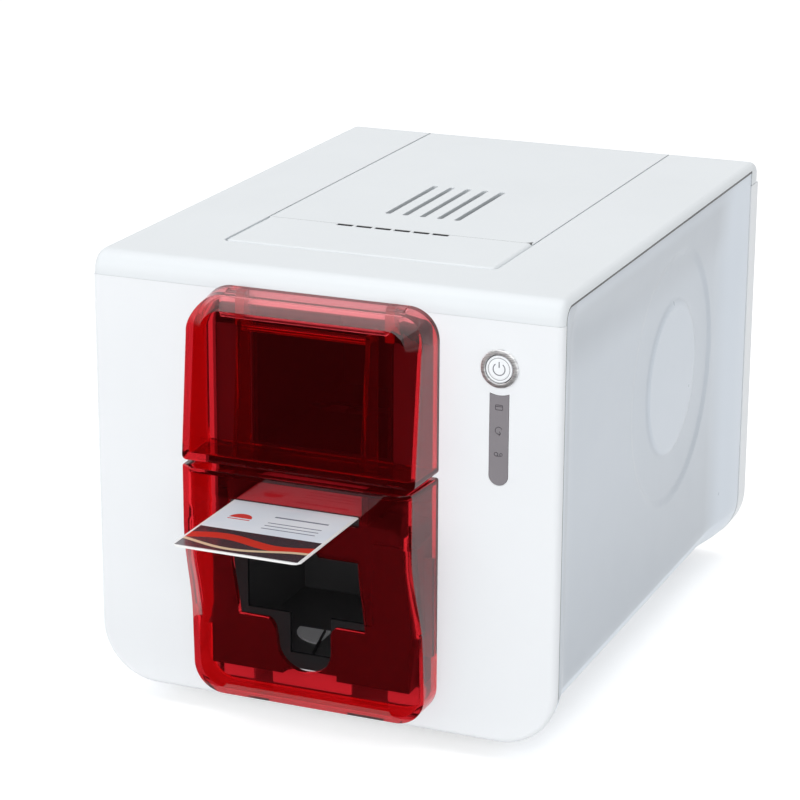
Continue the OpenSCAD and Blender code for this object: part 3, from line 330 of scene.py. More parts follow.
# ----------
# Card transport. Steel shafts carry ground rubber rollers; a train of nylon
# gears outside the right plate turns them from one motor with a brass pinion.
ROLLER_BLACK = (0.035, 0.035, 0.038)
ground_rubber = moulded_plastic(
    "ground_rubber", ROLLER_BLACK, mottle=0.2, roughness=0.62, spread=0.08, grain=0.35, depth=0.25
)
gear_nylon = moulded_plastic(
    "gear_nylon", (0.72, 0.71, 0.64), mottle=0.03, roughness=0.42, grain=0.6, depth=0.08
)
pinion_brass = bare_metal("pinion_brass", (0.72, 0.55, 0.26), roughness=0.28, brushed=(10, 1, 1))
motor_paint = moulded_plastic(
    "motor_paint", (0.03, 0.03, 0.032), mottle=0.15, roughness=0.45, grain=0.7, depth=0.15
)
for place in ("exit", "front", "rear", "platen", "feed", "exit_pinch", "front_pinch", "rear_pinch"):
    dress(place + "_roller", ground_rubber, 0)
gears = ["exit_gear", "front_gear", "rear_gear", "platen_gear", "feed_gear"]
for gear in gears + ["front_idler", "middle_idler", "rear_idler"]:
    dress(gear, gear_nylon, 0)
dress("motor_pinion", pinion_brass, 0)
dress("feed_motor", motor_paint, 0.4)

# ----------
# Card rails and exit sill. Black glass-filled mouldings that guide the card
# by its edges, from the feeder to the slot in the hopper.
INNER_BLACK = (0.022, 0.022, 0.024)
black_moulding = moulded_plastic(
    "black_moulding", INNER_BLACK, mottle=0.2, roughness=0.42, spread=0.07, grain=0.8, depth=0.2
)
for guide in ("card_rails", "exit_sill"):
    dress(guide, black_moulding, 0.2)

# ----------
# Ribbon. A dye film wound between two spools on plastic hubs; the web between
# them passes under the print head.
def dye_film(name):
    """Wound dye film: dark, glossy, with the panels' colours showing as bands along the length."""
    material, tree, surface = new_material(name)
    place = add_node(tree, "TexCoord")
    bands = add_node(tree, "TexWave", Scale=6, Distortion=0)
    bands.bands_direction = "Y"
    panels = tone_ramp(tree, (0.02, 0.02, 0.025), (0.03, 0.1, 0.16), 0, 0.75)
    panels.color_ramp.interpolation = "CONSTANT"
    panels.color_ramp.elements.new(0.25).color = (0.16, 0.13, 0.02, 1)
    panels.color_ramp.elements.new(0.5).color = (0.14, 0.02, 0.06, 1)
    ripple = add_node(tree, "TexNoise", Scale=90)
    for texture in (bands, ripple):
        wire(place, "Object", texture, "Vector")
    wire(bands, "Fac", panels, 0)
    wire(panels, 0, surface, "Base Color")
    uneven_finish(tree, surface, ripple, 0.12, 0.24, ripple, 0.15, 0.0003)
    return material


ribbon_film = dye_film("ribbon_film")
for part in ("ribbon_supply", "ribbon_take_up", "ribbon_web"):
    dress(part, ribbon_film, 0)
dress("spool_hubs", black_moulding, 0)

# ----------
# Electronics. One circuit board on brass pillars beside the left plate, with
# the inlet and the two data sockets at its rear edge and a small fan above.
def circuit_laminate(name):
    """Green solder mask over copper tracks, with bare pads."""
    material, tree, surface = new_material(name)
    place = add_node(tree, "TexCoord")
    tracks = add_node(
        tree,
        "TexBrick",
        Scale=220,
        Mortar_Size=0.06,
        Color1=(0.012, 0.11, 0.045, 1),
        Color2=(0.016, 0.14, 0.055, 1),
        Mortar=(0.03, 0.22, 0.09, 1),
    )
    turn = add_node(tree, "Mapping", Rotation=(0, math.pi / 2, 0))
    grain = add_node(tree, "TexNoise", Scale=300)
    wire(place, "Object", turn, "Vector")
    wire(turn, "Vector", tracks, "Vector")
    wire(place, "Object", grain, "Vector")
    wire(tracks, "Color", surface, "Base Color")
    uneven_finish(tree, surface, grain, 0.22, 0.4, tracks, 0.2, 0.0001)
    return material


dress("main_board", circuit_laminate("circuit_laminate"), 0)
dress("board_standoffs", pinion_brass, 0)
for socket in ("power_inlet", "usb_socket", "network_socket", "fan_frame", "fan_rotor"):
    dress(socket, black_moulding, 0.2)

# ----------
# Front panel. One white moulding, a shallow tray turned on its side: a flat
# face with rolled edges, an opening for the hoods, and bores for the button
# and the lamp strip. It hooks over the base tray and the side panels.
CASING_HALF = 102.5
CASING_HIGH = 187.5
CASING_DEEP = 272.0
SKIN = 2.5
LOW_CORNER = 25.0
EDGE_ROLL = 2.7
FRONT_SEAM = 177.78
FRONT_RIM = 3.2


def arc(centre, radius, start, end, steps):
    """Points on an arc, in degrees from the first axis towards the second, both ends included."""
    points = []
    for i in range(steps + 1):
        a = math.radians(start + (end - start) * i / steps)
        points.append((centre[0] + radius * math.cos(a), centre[1] + radius * math.sin(a)))
    return points


def skin_piece(name, points, faces, body, material):
    """A mesh piece from points in casing millimetres, riding on one body of the frame."""
    piece = mesh_object(name, [at(*p) for p in points], faces, material)
    mesh = piece.data
    mesh.validate()
    shape = bmesh.new()
    shape.from_mesh(mesh)
    bmesh.ops.recalc_face_normals(shape, faces=shape.faces)
    shape.to_mesh(mesh)
    shape.free()
    mesh.polygons.foreach_set("use_smooth", [True] * len(mesh.polygons))
    if body:
        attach(piece, body)
    return piece


def stacked_rings(rings, caps=True):
    """Points and faces of a form that runs from ring to ring: capped at its ends, or closed on itself."""
    count = len(rings[0])
    points = [p for ring in rings for p in ring]
    total = len(points)
    faces = []
    for here in range(0, total - count if caps else total, count):
        there = (here + count) % total
        for i in range(count):
            j = (i + 1) % count
            faces.append((here + i, here + j, there + j, there + i))
    if caps:
        faces += [tuple(range(count)), tuple(range(total - count, total))]
    return points, faces


def ring_piece(name, rings, body, material, caps=True):
    """A mesh piece whose skin runs from ring to ring."""
    points, faces = stacked_rings(rings, caps)
    return skin_piece(name, points, faces, body, material)


def drawn_out(outline, levels, axis):
    """The outline's points in the two other axes, repeated at each level along this one."""
    if axis == "x":
        return [[(level, u, v) for u, v in outline] for level in levels]
    if axis == "y":
        return [[(u, level, v) for u, v in outline] for level in levels]
    return [[(u, v, level) for u, v in outline] for level in levels]


def cutter(outline, low, high, axis="y"):
    """A prism used to cut openings, from low to high along one axis."""
    return ring_piece("cutter", drawn_out(outline, (low, high), axis), None, white_moulding)


def settle(piece, *names):
    """Makes the named modifiers part of the mesh."""
    bpy.context.view_layer.objects.active = piece
    for name in names:
        with bpy.context.temp_override(object=piece, active_object=piece, selected_objects=[piece]):
            bpy.ops.object.modifier_apply(modifier=name)


def cut_away(piece, *cutters):
    """Cuts other forms out of the piece and removes them."""
    for tool in cutters:
        cutting = piece.modifiers.new("cut", "BOOLEAN")
        cutting.operation = "DIFFERENCE"
        cutting.solver = "EXACT"
        cutting.object = tool
        settle(piece, "cut")
        bpy.data.objects.remove(tool)
    return piece


def break_edges(piece, width, angle=32, segments=2):
    """Rounds the edges of a skin and shades all of it smoothly."""
    round_edges(piece, width, angle, segments, 80)
    piece.data.polygons.foreach_set("use_smooth", [True] * len(piece.data.polygons))
    return piece


def prism(name, outline, levels, axis, body, material, edge):
    """A small piece of one outline, drawn out along one axis, with broken edges."""
    return break_edges(ring_piece(name, drawn_out(outline, levels, axis), body, material), edge)


def box_outline(x0, x1, z0, z1, low_r=0.0, high_r=0.0, steps=10):
    """Rectangle with rounded lower and upper corners, anticlockwise from the lower left."""
    outline = []
    corners = ((x0, z0, 180, low_r), (x1, z0, 270, low_r), (x1, z1, 0, high_r), (x0, z1, 90, high_r))
    for x, z, start, r in corners:
        if r <= 0:
            outline.append((x, z))
        else:
            centre = (x + (r if x == x0 else -r), z + (r if z == z0 else -r))
            outline += arc(centre, r, start, start + 90, steps)
    return outline


def front_outline(inset):
    """The casing seen from the front below the seam, a little smaller by inset."""
    half = CASING_HALF - inset
    return box_outline(-half, half, inset, FRONT_SEAM, LOW_CORNER - inset, 0, 18)


def rolled_levels(depth_from, inset_from, radius, steps=6):
    """(depth, inset) pairs round a rolled front edge, from its end on the side to its end on the face."""
    levels = []
    for i in range(steps + 1):
        a = math.radians(90 * i / steps)
        levels.append((depth_from + radius * (1 - math.sin(a)), inset_from + radius * (1 - math.cos(a))))
    return levels


outside = [(FRONT_RIM, 0.0)] + rolled_levels(0, 0, EDGE_ROLL)
inside = [(FRONT_RIM + 5, SKIN)] + rolled_levels(SKIN, SKIN, 1.2, 3)
rings = [[(x, depth, z) for x, z in front_outline(inset)] for depth, inset in outside]
front_panel = ring_piece("front_panel_skin", rings, None, white_moulding)
rings = [[(x, depth, z) for x, z in front_outline(inset)] for depth, inset in inside]
hollow = ring_piece("cutter", rings, None, white_moulding)

BUTTON_X = 76.6
BUTTON_Z = 158.5
BUTTON = (BUTTON_X, BUTTON_Z)
BUTTON_BORE = 7.0
STRIP_LOW = 110.5
STRIP_HALF = 4.0
STRIP_HOLLOW = 11.0
OPENING_HALF = 47
OPENING_LOW, OPENING_HIGH = 8.5, 173.5
BEFORE_PANEL, BEHIND_PANEL = -1, 12


def strip_outline(grow):
    """Round-ended slot with a hollow upper end that follows the button's ring."""
    r = STRIP_HALF + grow
    hollow_r = STRIP_HOLLOW - grow
    reach = math.degrees(math.asin(r / hollow_r))
    outline = arc((BUTTON_X, STRIP_LOW + STRIP_HALF), r, 180, 360, 20)
    outline += arc(BUTTON, hollow_r, 270 + reach, 270 - reach, 12)
    return outline


openings = (
    box_outline(-OPENING_HALF, OPENING_HALF, OPENING_LOW, OPENING_HIGH, 3, 3, 6),
    arc(BUTTON, BUTTON_BORE, 0, 355, 71),
    strip_outline(0.12),
)
cut_away(front_panel, hollow, *[cutter(outline, BEFORE_PANEL, BEHIND_PANEL) for outline in openings])
break_edges(front_panel, 0.15)
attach(front_panel, "casing")
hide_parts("front_panel")

# ----------
# Rear panel. White moulding like the front one, with the grille of the fan,
# the ports' cut-outs and a slot for a cable lock.
dress("rear_panel", white_moulding, 0.4)

# ----------
# Top shell. A slightly cooler white moulding that rolls over the front edge
# and leaves a long bay open for the lid. It clips onto the rims of the front
# and rear panels.
TOP_WHITE = (0.735, 0.765, 0.785)
top_moulding = moulded_plastic("top_moulding", TOP_WHITE, roughness=0.33)
TOP_SEAM = 177.85
SIDE_LINE = 184.7
SIDE_ROUND = 6.2
FRONT_ROUND = 8.5
REAR_ROUND = 5.5
BESIDE_CASING = 110
BAY_GAPS = {"left": 0.7, "right": 0.8, "front": 0.6}
BAY_CORNER = 3.4
LID_HALF = 60.0
LID_FRONT = 37.0
SEAM_GAP = 0.4


def mirrored(points):
    """The points and then their mirror images, back to the start."""
    return points + [(-x, v) for x, v in points[::-1]]


def casing_profile(inset, low):
    """Side view (Y, Z) of the casing above a level, from its lower front corner to its lower rear one."""
    front_r = max(FRONT_ROUND - inset, 0.6)
    rear_r = max(REAR_ROUND - inset, 0.6)
    high = CASING_HIGH - inset
    rear = CASING_DEEP - inset
    profile = [(inset, low)]
    profile += arc((inset + front_r, high - front_r), front_r, 180, 90, 12)
    profile += arc((rear - rear_r, high - rear_r), rear_r, 90, 0, 10)
    profile.append((rear, low))
    return profile


def casing_block(name, inset, low):
    """The casing's outer form above a level, with rolled side edges, as one closed block."""
    half = CASING_HALF - inset
    roll = max(EDGE_ROLL + 1.0 - inset, 0.5)
    stations = []
    for i in range(7):
        a = math.radians(90 * i / 6)
        stations.append((half - roll + roll * math.cos(a), roll * (1 - math.sin(a))))
    rings = []
    for x, d in mirrored(stations):
        rings.append([(x, y, z) for y, z in casing_profile(inset + d, low)])
    return ring_piece(name, rings, None, top_moulding)


top_shell = casing_block("top_shell_skin", 0, TOP_SEAM)
bay_left = -LID_HALF - BAY_GAPS["left"]
bay_right = LID_HALF + BAY_GAPS["right"]
bay = box_outline(bay_left, bay_right, LID_FRONT - BAY_GAPS["front"], CASING_DEEP + 5, BAY_CORNER, 0, 8)
under = casing_block("cutter", SKIN, TOP_SEAM - 5)
side_cut = [(FRONT_RIM, TOP_SEAM - 4), (CASING_DEEP - 11, TOP_SEAM - 4), (CASING_DEEP - 11, SIDE_LINE)]
side_cut += arc((FRONT_RIM + SIDE_ROUND, SIDE_LINE - SIDE_ROUND), SIDE_ROUND, 90, 180, 10)
side_tool = cutter(side_cut, -BESIDE_CASING, BESIDE_CASING, "x")
cut_away(top_shell, under, side_tool, cutter(bay, TOP_SEAM - 5, CASING_HIGH + 5, "z"))
break_edges(top_shell, 0.15)
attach(top_shell, "casing")

# Ledges that carry the lid's edges, moulded in one with the shell
LEDGE_LOW = 182.2
LEDGE_REAR = 240
for name, side, front, inner_side, inner_front, top in (
    ("top_shell_ledges", 66, 31, 60.4, 36.6, 185.02),
    ("top_shell_shelves", 60.4, 36.6, 56, 41, 184.7),
):
    outline = [(-side, front), (side, front), (side, LEDGE_REAR), (inner_side, LEDGE_REAR)]
    outline += [(inner_side, inner_front), (-inner_side, inner_front)]
    outline += [(-inner_side, LEDGE_REAR), (-side, LEDGE_REAR)]
    prism(name, outline, (LEDGE_LOW, top), "z", "casing", top_moulding, 0.3)
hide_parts("top_shell")

# ----------
# Side panels. Cool grey mouldings, dished: they leave the rims in a soft ramp,
# run flat, carry a shallow ring round a disc, and turn under the casing.
SIDE_GREY = (0.58, 0.63, 0.69)
side_moulding = moulded_plastic("side_moulding", SIDE_GREY, roughness=0.3)
DISH = 3.8
DISH_FRONT, DISH_REAR = 4.3, 260.4
DISH_TOP = 183.7
DISC_Y, DISC_Z = 158.0, 113.0
DISC_R = 34.0
RING_R = 56.0
RING_DEEP = 0.9
RING_EDGE = 0.8
RIM_DEEP = 0.35
FRONT_RAMP = 17.0
REAR_RAMP = 40.0
TOP_RAMP = 14.0
PANEL_THICK = 2.2
UNDER_EDGE = 76.4
FRONT_STEP = 0.4
SIDE_ROWS = 109
TURN_ROWS = 22


def blend(tree, share, under, over):
    """A mix of two colours or outputs, by a share that another node gives."""
    mix = add_node(tree, "Mix")
    mix.data_type = "RGBA"
    for value, entry in ((share, "Factor"), (under, "A"), (over, "B")):
        feed(tree, value, mix.inputs[entry])
    return mix.outputs["Result"]


def paint_light_and_shade_by_place(material):
    """Paints light and shade into the colour: painted shade deepens the front and top ramps and the foot,
    painted light brightens the rear ramp, a painted highlight runs along the lower edge, and the disc is
    lighter.
    """
    tree = material.node_tree
    surface = tree.nodes["Principled BSDF"]
    parts = add_node(tree, "SeparateXYZ")
    wire(tree.nodes["Texture Coordinate"], "Object", parts, 0)

    def rise(axis, start, full):
        """0 before start and 1 from full on, both in casing millimetres along Y or Z."""
        origin = CASING_FRONT if axis == "Y" else CASING_UNDER
        return soft_step(tree, parts.outputs[axis], origin + start * 0.001, origin + full * 0.001)

    flat = add_node(tree, "CombineXYZ")
    reach = tree.nodes.new("ShaderNodeVectorMath")
    reach.operation = "DISTANCE"
    reach.inputs[1].default_value = at(0, DISC_Y, DISC_Z)
    disc = add_node(tree, "MapRange", From_Min=DISC_R * 0.001 + 0.0006, From_Max=DISC_R * 0.001 - 0.0006)
    wire(parts, "Y", flat, "Y")
    wire(parts, "Z", flat, "Z")
    wire(flat, 0, reach, 0)
    wire(reach, "Value", disc, "Value")
    # Shares of painted shade: the front and top ramps, and the foot below the disc
    front_ramp = reckon(tree, "MULTIPLY", rise("Y", 5.5, 9), rise("Y", 22, 15))
    top_ramp = reckon(tree, "MULTIPLY", rise("Z", 182, 175), rise("Z", 146, 166))
    painted_shade_share = reckon(tree, "MAXIMUM", reckon(tree, "MAXIMUM", front_ramp, top_ramp), rise("Z", 115, 15))
    tone = surface.inputs["Base Color"].links[0].from_socket
    # Darker for painted shade; lighter for the disc, for painted light on the rear ramp and for a painted
    # highlight along the lower edge
    for share, strength in (
        (painted_shade_share, 0.84),
        (disc.outputs[0], 1.09),
        (rise("Y", 212, 240), 1.22),
        (rise("Z", 20.5, 18), 1.3),
    ):
        tone = blend(tree, share, tone, [min(c * strength, 1) for c in SIDE_GREY] + [1])
    feed(tree, tone, surface.inputs["Base Color"])


# Painted light and shade in the side panels' colour
paint_light_and_shade_by_place(side_moulding)


def ease(t):
    """0 before 0 and 1 from 1 on, with a soft start and end."""
    t = min(max(t, 0.0), 1.0)
    return t * t * (3 - 2 * t)


def dish_depth(y, z):
    """How far the panel lies inside the casing's outer form at one place."""
    front = ease((y - DISH_FRONT - 1.2) / FRONT_RAMP)
    rear = ease((DISH_REAR - y) / REAR_RAMP)
    top = ease((DISH_TOP - z) / (TOP_RAMP + 0.12 * max(y - 20, 0)))
    depth = RIM_DEEP + (DISH - RIM_DEEP) * front * rear * (0.25 + 0.75 * top)
    reach = math.hypot(y - DISC_Y, z - DISC_Z)
    ring = ease((reach - DISC_R + RING_EDGE) / (2 * RING_EDGE))
    ring *= ease((RING_R + RING_EDGE - reach) / (2 * RING_EDGE))
    return depth + RING_DEEP * ring


def panel_top(y):
    """Height of the panel's upper edge, which rounds down at the front corner."""
    short = max(SIDE_ROUND - 1 - (y - DISH_FRONT), 0)
    return DISH_TOP - SIDE_ROUND + 1 + math.sqrt((SIDE_ROUND - 1) ** 2 - short ** 2)


def side_panel(name, sign, node):
    """The dished panel: an outer and an inner sheet of points, joined round their rim."""
    columns = [DISH_FRONT + FRONT_STEP * i for i in range(20)]
    start = columns[-1] + FRONT_STEP
    columns += [start + (DISH_REAR - start) * i / 160 for i in range(161)]
    points = []
    for extra in (0.0, PANEL_THICK):
        for y in columns:
            top = panel_top(y)
            for i in range(SIDE_ROWS):
                z = top - i * (top - LOW_CORNER) / (SIDE_ROWS - 1)
                points.append((sign * (CASING_HALF - dish_depth(y, z) - extra), y, z))
            inset = dish_depth(y, 0) + extra
            r = LOW_CORNER - inset
            for i in range(TURN_ROWS):
                a = math.radians(90 * (i + 1) / TURN_ROWS)
                x = CASING_HALF - LOW_CORNER + r * math.cos(a)
                points.append((sign * x, y, LOW_CORNER - r * math.sin(a)))
            points.append((sign * UNDER_EDGE, y, inset))
    rows = SIDE_ROWS + TURN_ROWS + 1
    size = rows * len(columns)
    faces = []
    for c in range(len(columns) - 1):
        for r in range(rows - 1):
            i = c * rows + r
            faces.append((i, i + 1, i + rows + 1, i + rows))
            faces.append((size + i, size + i + rows, size + i + rows + 1, size + i + 1))
    rim = list(range(0, size, rows))
    rim += range(size - rows + 1, size)
    rim += range(size - rows - 1, 0, -rows)
    rim += range(rows - 2, 0, -1)
    for here, there in zip(rim, rim[1:] + rim[:1]):
        faces.append((here, size + here, size + there, there))
    panel = skin_piece(name, points, faces, "casing", side_moulding)
    break_edges(panel, 0.3, 50)
    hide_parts(node)


side_panel("right_side_skin", 1, "right_side_panel")
side_panel("left_side_skin", -1, "left_side_panel")

# Painted shade: black strips in the seams between the panels and the rims, standing for the shade in these
# gaps
SEAM_SHADE_LOW = 22
SEAM_SHADE_THICK = 2.6
groove = [(CASING_DEEP - 10.8, SIDE_LINE + 0.1), (CASING_DEEP - 10.8, DISH_TOP - 0.1)]
groove += arc((DISH_FRONT + 5.2, DISH_TOP - 5.2), 5.3, 90, 180, 10)
groove += [(DISH_FRONT - 0.1, SEAM_SHADE_LOW), (FRONT_RIM - 0.1, SEAM_SHADE_LOW)]
groove += arc((FRONT_RIM + SIDE_ROUND, SIDE_LINE - SIDE_ROUND), SIDE_ROUND + 0.1, 180, 90, 10)
for name, x in (("side_seam_shade_right", 99.74), ("side_seam_shade_left", -102.34)):
    prism(name, groove, (x, x + SEAM_SHADE_THICK), "x", "casing", black_moulding, 0.1)

# ----------
# Lid. One white moulding that carries the top's line over the rear edge,
# pierced by five air slots, with two drilled ears for its hinge pins.
STRIP_SEAM = 81.0
SKIRT_LOW = 172.0
VENTS = 5
VENT_WIDE = 2.5
VENT_LONG = 57.0
VENT_PITCH = 8.0
VENT_START = 107.0

outer_line = [(STRIP_SEAM + SEAM_GAP, CASING_HIGH)]
corner = (CASING_DEEP - REAR_ROUND, CASING_HIGH - REAR_ROUND)
outer_line += arc(corner, REAR_ROUND, 90, 0, 10)
outer_line.append((CASING_DEEP, SKIRT_LOW))
inner_line = [(CASING_DEEP - SKIN, SKIRT_LOW)]
inner_line += arc(corner, REAR_ROUND - SKIN, 0, 90, 10)
inner_line.append((STRIP_SEAM + SEAM_GAP, CASING_HIGH - SKIN))
rings = drawn_out(outer_line + inner_line, (-LID_HALF, LID_HALF), "x")
lid = ring_piece("lid_skin", rings, None, top_moulding)
slots = []
for i in range(VENTS):
    x = (i - (VENTS - 1) / 2) * VENT_PITCH
    r = VENT_WIDE / 2
    slot = arc((x, VENT_START + r), r, 180, 360, 8) + arc((x, VENT_START + VENT_LONG - r), r, 0, 180, 8)
    slots.append(cutter(slot, CASING_HIGH - 5, CASING_HIGH + 2, "z"))
catch_nick = [(57.0, 80), (59.0, 80), (59.0, 84.6), (56.4, 82.4)]
cut_away(lid, *slots, cutter(catch_nick, CASING_HIGH - 1.6, CASING_HIGH + 2, "z"))
break_edges(lid, 0.5, segments=3)
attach(lid, "lid")
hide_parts("top_lid")

EAR_WIDE = 6.0
EAR_INSET = 2
EAR_ROUND = 5.5
EAR_TOPS = (185.1, 184.6)
PIN_BORE = 2.52
HINGE = (262.5, 178.0)
left_ear, right_ear = -LID_HALF + EAR_INSET, LID_HALF - EAR_INSET - EAR_WIDE
for name, x in (("lid_ear_left", left_ear), ("lid_ear_right", right_ear)):
    ear = [(HINGE[0] - EAR_ROUND, EAR_TOPS[0]), (HINGE[0] - EAR_ROUND, HINGE[1])]
    ear += arc(HINGE, EAR_ROUND, 180, 360, 20)[1:]
    ear.append((HINGE[0] + EAR_ROUND, EAR_TOPS[1]))
    rings = drawn_out(ear, (x, x + EAR_WIDE), "x")
    ear_piece = ring_piece(name, rings, None, top_moulding)
    cut_away(ear_piece, cutter(arc(HINGE, PIN_BORE, 0, 350, 35), x - 1, x + EAR_WIDE + 1, "x"))
    break_edges(ear_piece, 0.3)
    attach(ear_piece, "lid")

# ----------
# Front strip of the lid. A flat white plate with rounded front corners, held
# under the lid by a tongue; six short recesses along its seam help it flex.
STRIP_ROLL = 1.9
STRIP_TOP = CASING_HIGH + 0.35
STRIP_CORNER = 3
RECESSES = 6
RECESS_START = 23.2
RECESS_PITCH = 8.7
RECESS_WIDE = 7.3
RECESS_FRONT = STRIP_SEAM - 2.6


def strip_line(inset):
    """Outline of the strip: rolled at its front and sides, straight along the seam, with the recesses."""
    side, front = LID_HALF - STRIP_CORNER, LID_FRONT + STRIP_CORNER
    line = arc((side, front), STRIP_CORNER - inset, 270, 360, 8)
    line.append((LID_HALF - inset, STRIP_SEAM))
    for i in range(RECESSES):
        x = RECESS_START - i * RECESS_PITCH
        line += [(x, STRIP_SEAM), (x, RECESS_FRONT)]
        line += [(x - RECESS_WIDE, RECESS_FRONT), (x - RECESS_WIDE, STRIP_SEAM)]
    line.append((-LID_HALF + inset, STRIP_SEAM))
    return line + arc((-side, front), STRIP_CORNER - inset, 180, 270, 8)


rings = [[(x, y, CASING_HIGH - SKIN) for x, y in strip_line(0)]]
for i in range(6):
    a = math.radians(90 * i / 5)
    level = STRIP_TOP - STRIP_ROLL * (1 - math.sin(a))
    rings.append([(x, y, level) for x, y in strip_line(STRIP_ROLL * (1 - math.cos(a)))])
strip = ring_piece("lid_strip_skin", rings, None, top_moulding)
break_edges(strip, 0.2, 60)
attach(strip, "lid")
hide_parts("lid_front_strip")
TONGUE_HALF = 52
tongue = box_outline(-TONGUE_HALF, TONGUE_HALF, 69, 95)
prism("lid_strip_tongue", tongue, (183.0, 184.98), "z", "lid", top_moulding, 0.3)

# Painted shade: black fillers under the recesses, along the seam and in the nick at its right end, standing
# for the shade in these gaps
LID_SHADE_FOOT = 184.6
LID_SHADE_REAR = 81.7
recesses = box_outline(-29.4, 23.6, 78.0, LID_SHADE_REAR)
seam = box_outline(-58.5, 59.4, 80.7, LID_SHADE_REAR)
nick = [(57.2, 81.5), (58.8, 81.5), (58.8, 84.4), (56.7, 82.3)]
for name, outline, low, top in (
    ("lid_recess_shade", recesses, LID_SHADE_FOOT, 187.34),
    ("lid_seam_shade", seam, LID_SHADE_FOOT, 187.72),
    ("lid_nick_shade", nick, 186.2, 187.6),
):
    prism(name, outline, (low, top), "z", "lid", black_moulding, 0.1)

# ----------
# Lid fittings. Turned hinge pins, a springy black catch behind the front edge,
# and the print head: a finned aluminium bar hung on two coil springs.
head_aluminium = bare_metal("head_aluminium", (0.48, 0.49, 0.51), roughness=0.38, brushed=(1, 8, 1))
dress("lid_hinge_pins", turned_steel, 0)
dress("lid_catch", black_moulding, 0.2)
dress("head_bracket", zinc_plate, 0.2)
dress("print_head", head_aluminium, 0.15)
dress("head_springs", turned_steel, 0)

# ----------
# Feeder bin. A black open-topped box behind the upper hood that holds the
# stack of blank cards; the hood's hinge knuckles are moulded onto its mouth.
# Painted shade: black plastic darker and less glossy than the other black mouldings, for the shade inside
# the bin and on the output bucket's front
painted_shade_black = moulded_plastic(
    "painted_shade_black", (0.010, 0.010, 0.011), mottle=0.15, roughness=0.6, grain=0.6, depth=0.12
)
painted_shade_black.node_tree.nodes["Principled BSDF"].inputs["Specular IOR Level"].default_value = 0.16
feeder_bin = dress("feeder_bin", painted_shade_black, 0.3)
red_moulding = moulded_plastic("red_moulding", (0.26, 0.008, 0.012), mottle=0.1, roughness=0.2, spread=0.04)


def face_front(piece, material, reach):
    """Gives the faces more than reach millimetres before the front panel another material."""
    piece.data.materials.append(material)
    for polygon in piece.data.polygons:
        if (piece.matrix_world @ polygon.center).y < CASING_FRONT - reach * 0.001:
            polygon.material_index = 1


face_front(feeder_bin, red_moulding, 0.4)
# Painted light: black plastic given a charcoal grey, for light on the bucket's inside and on the cheeks
# behind the feeder hood
painted_light_charcoal = moulded_plastic(
    "painted_light_charcoal", (0.075, 0.075, 0.078), mottle=0.12, grain=0.8, depth=0.15
)

# Charcoal cheeks on both sides of the bin's mouth, behind the clear hood: painted light that makes the
# face's sides read brighter than its middle
CHEEK_WIDE = 17
CHEEK_LOW, CHEEK_HIGH = 113, 163
for name, x in (("feeder_mouth_cheek_left", -48.0), ("feeder_mouth_cheek_right", 31.0)):
    cheek = box_outline(x, x + CHEEK_WIDE, CHEEK_LOW, CHEEK_HIGH, 1, 1, 3)
    prism(name, cheek, (2.7, 4.2), "y", "casing", painted_light_charcoal, 0.3)

# ----------
# Feeder hood. Clear red acrylic, moulded in one: straight walls, a sloping
# band and a leaning face, with two ribs inside that keep the cards in line.
HOOD_HALF = 51.5
HOOD_SKIN = 2.5
HOOD_CORNER = 13.0
BAND = 7.0
UPPER_LOW, UPPER_HIGH = 111.7, 179.8
UPPER_LOW_REACH, UPPER_TOP_REACH = 24.0, 17.0
TOP_DRAFT = 1.5
BAND_HIGH = 6.19
HOOD_BACK = -0.3
BEHIND_HOOD = 4.0
# Heights where the acrylic turns paler and less clear over the hood's top: a painted reflection of the room
PALE_FROM, PALE_FULL = 173.0, 176.0
CLEAR_BELOW, CLEAR_OVER = 0.985, 0.93


def clear_acrylic(name, colour, pale, shadow):
    """Clear dyed acrylic with faint flow marks and hairlines, paler and less clear over the feeder hood's
    top: a painted reflection of the room.
    """
    material, tree, surface = new_material(name, IOR=1.49)
    place = add_node(tree, "TexCoord")
    flow = add_node(tree, "TexNoise", Scale=9)
    hair = add_node(tree, "TexNoise", Scale=180, Detail=5)
    dye = tone_ramp(tree, [c * 0.92 for c in colour], [min(c * 1.08, 1) for c in colour])
    heights = add_node(tree, "SeparateXYZ")
    for texture in (flow, hair):
        wire(place, "Object", texture, "Vector")
    wire(flow, "Fac", dye, 0)
    wire(place, "Object", heights, 0)

    def over_top(below, above):
        """One value below the band over the top, another inside it."""
        start, full = at(0, 0, PALE_FROM).z, at(0, 0, PALE_FULL).z
        return soft_step(tree, heights.outputs["Z"], start, full, To_Min=below, To_Max=above)

    feed(tree, over_top(CLEAR_BELOW, CLEAR_OVER), surface.inputs["Transmission Weight"])
    feed(tree, blend(tree, over_top(0.0, 1.0), dye.outputs[0], (*pale, 1)), surface.inputs["Base Color"])
    uneven_finish(tree, surface, hair, 0.015, 0.05, flow, 0.03, 0.001)
    ray = add_node(tree, "LightPath").outputs
    passing = reckon(tree, "MAXIMUM", ray["Is Shadow Ray"], ray["Is Diffuse Ray"])
    tint = add_node(tree, "BsdfTransparent", Color=(*shadow, 1))
    mix = add_node(tree, "MixShader")
    feed(tree, passing, mix.inputs[0])
    wire(surface, 0, mix, 1)
    wire(tint, 0, mix, 2)
    wire(mix, 0, tree.nodes["Material Output"], "Surface")
    return material


red_acrylic = clear_acrylic(
    "red_acrylic", colour=(0.70, 0.020, 0.030), pale=(0.78, 0.19, 0.21), shadow=(0.98, 0.95, 0.952)
)


def upper_lean(z):
    """Y of the leaning face at one height."""
    fall = (UPPER_TOP_REACH - UPPER_LOW_REACH) * (z - UPPER_LOW) / (UPPER_HIGH - UPPER_LOW)
    return -(UPPER_LOW_REACH + fall)


def band_drop(z, high):
    """How far the walls' front edge stays behind the face: a little at the sides, much over the top."""
    return 0.7 + 6.1 * ease((z - high + 14) / 14)


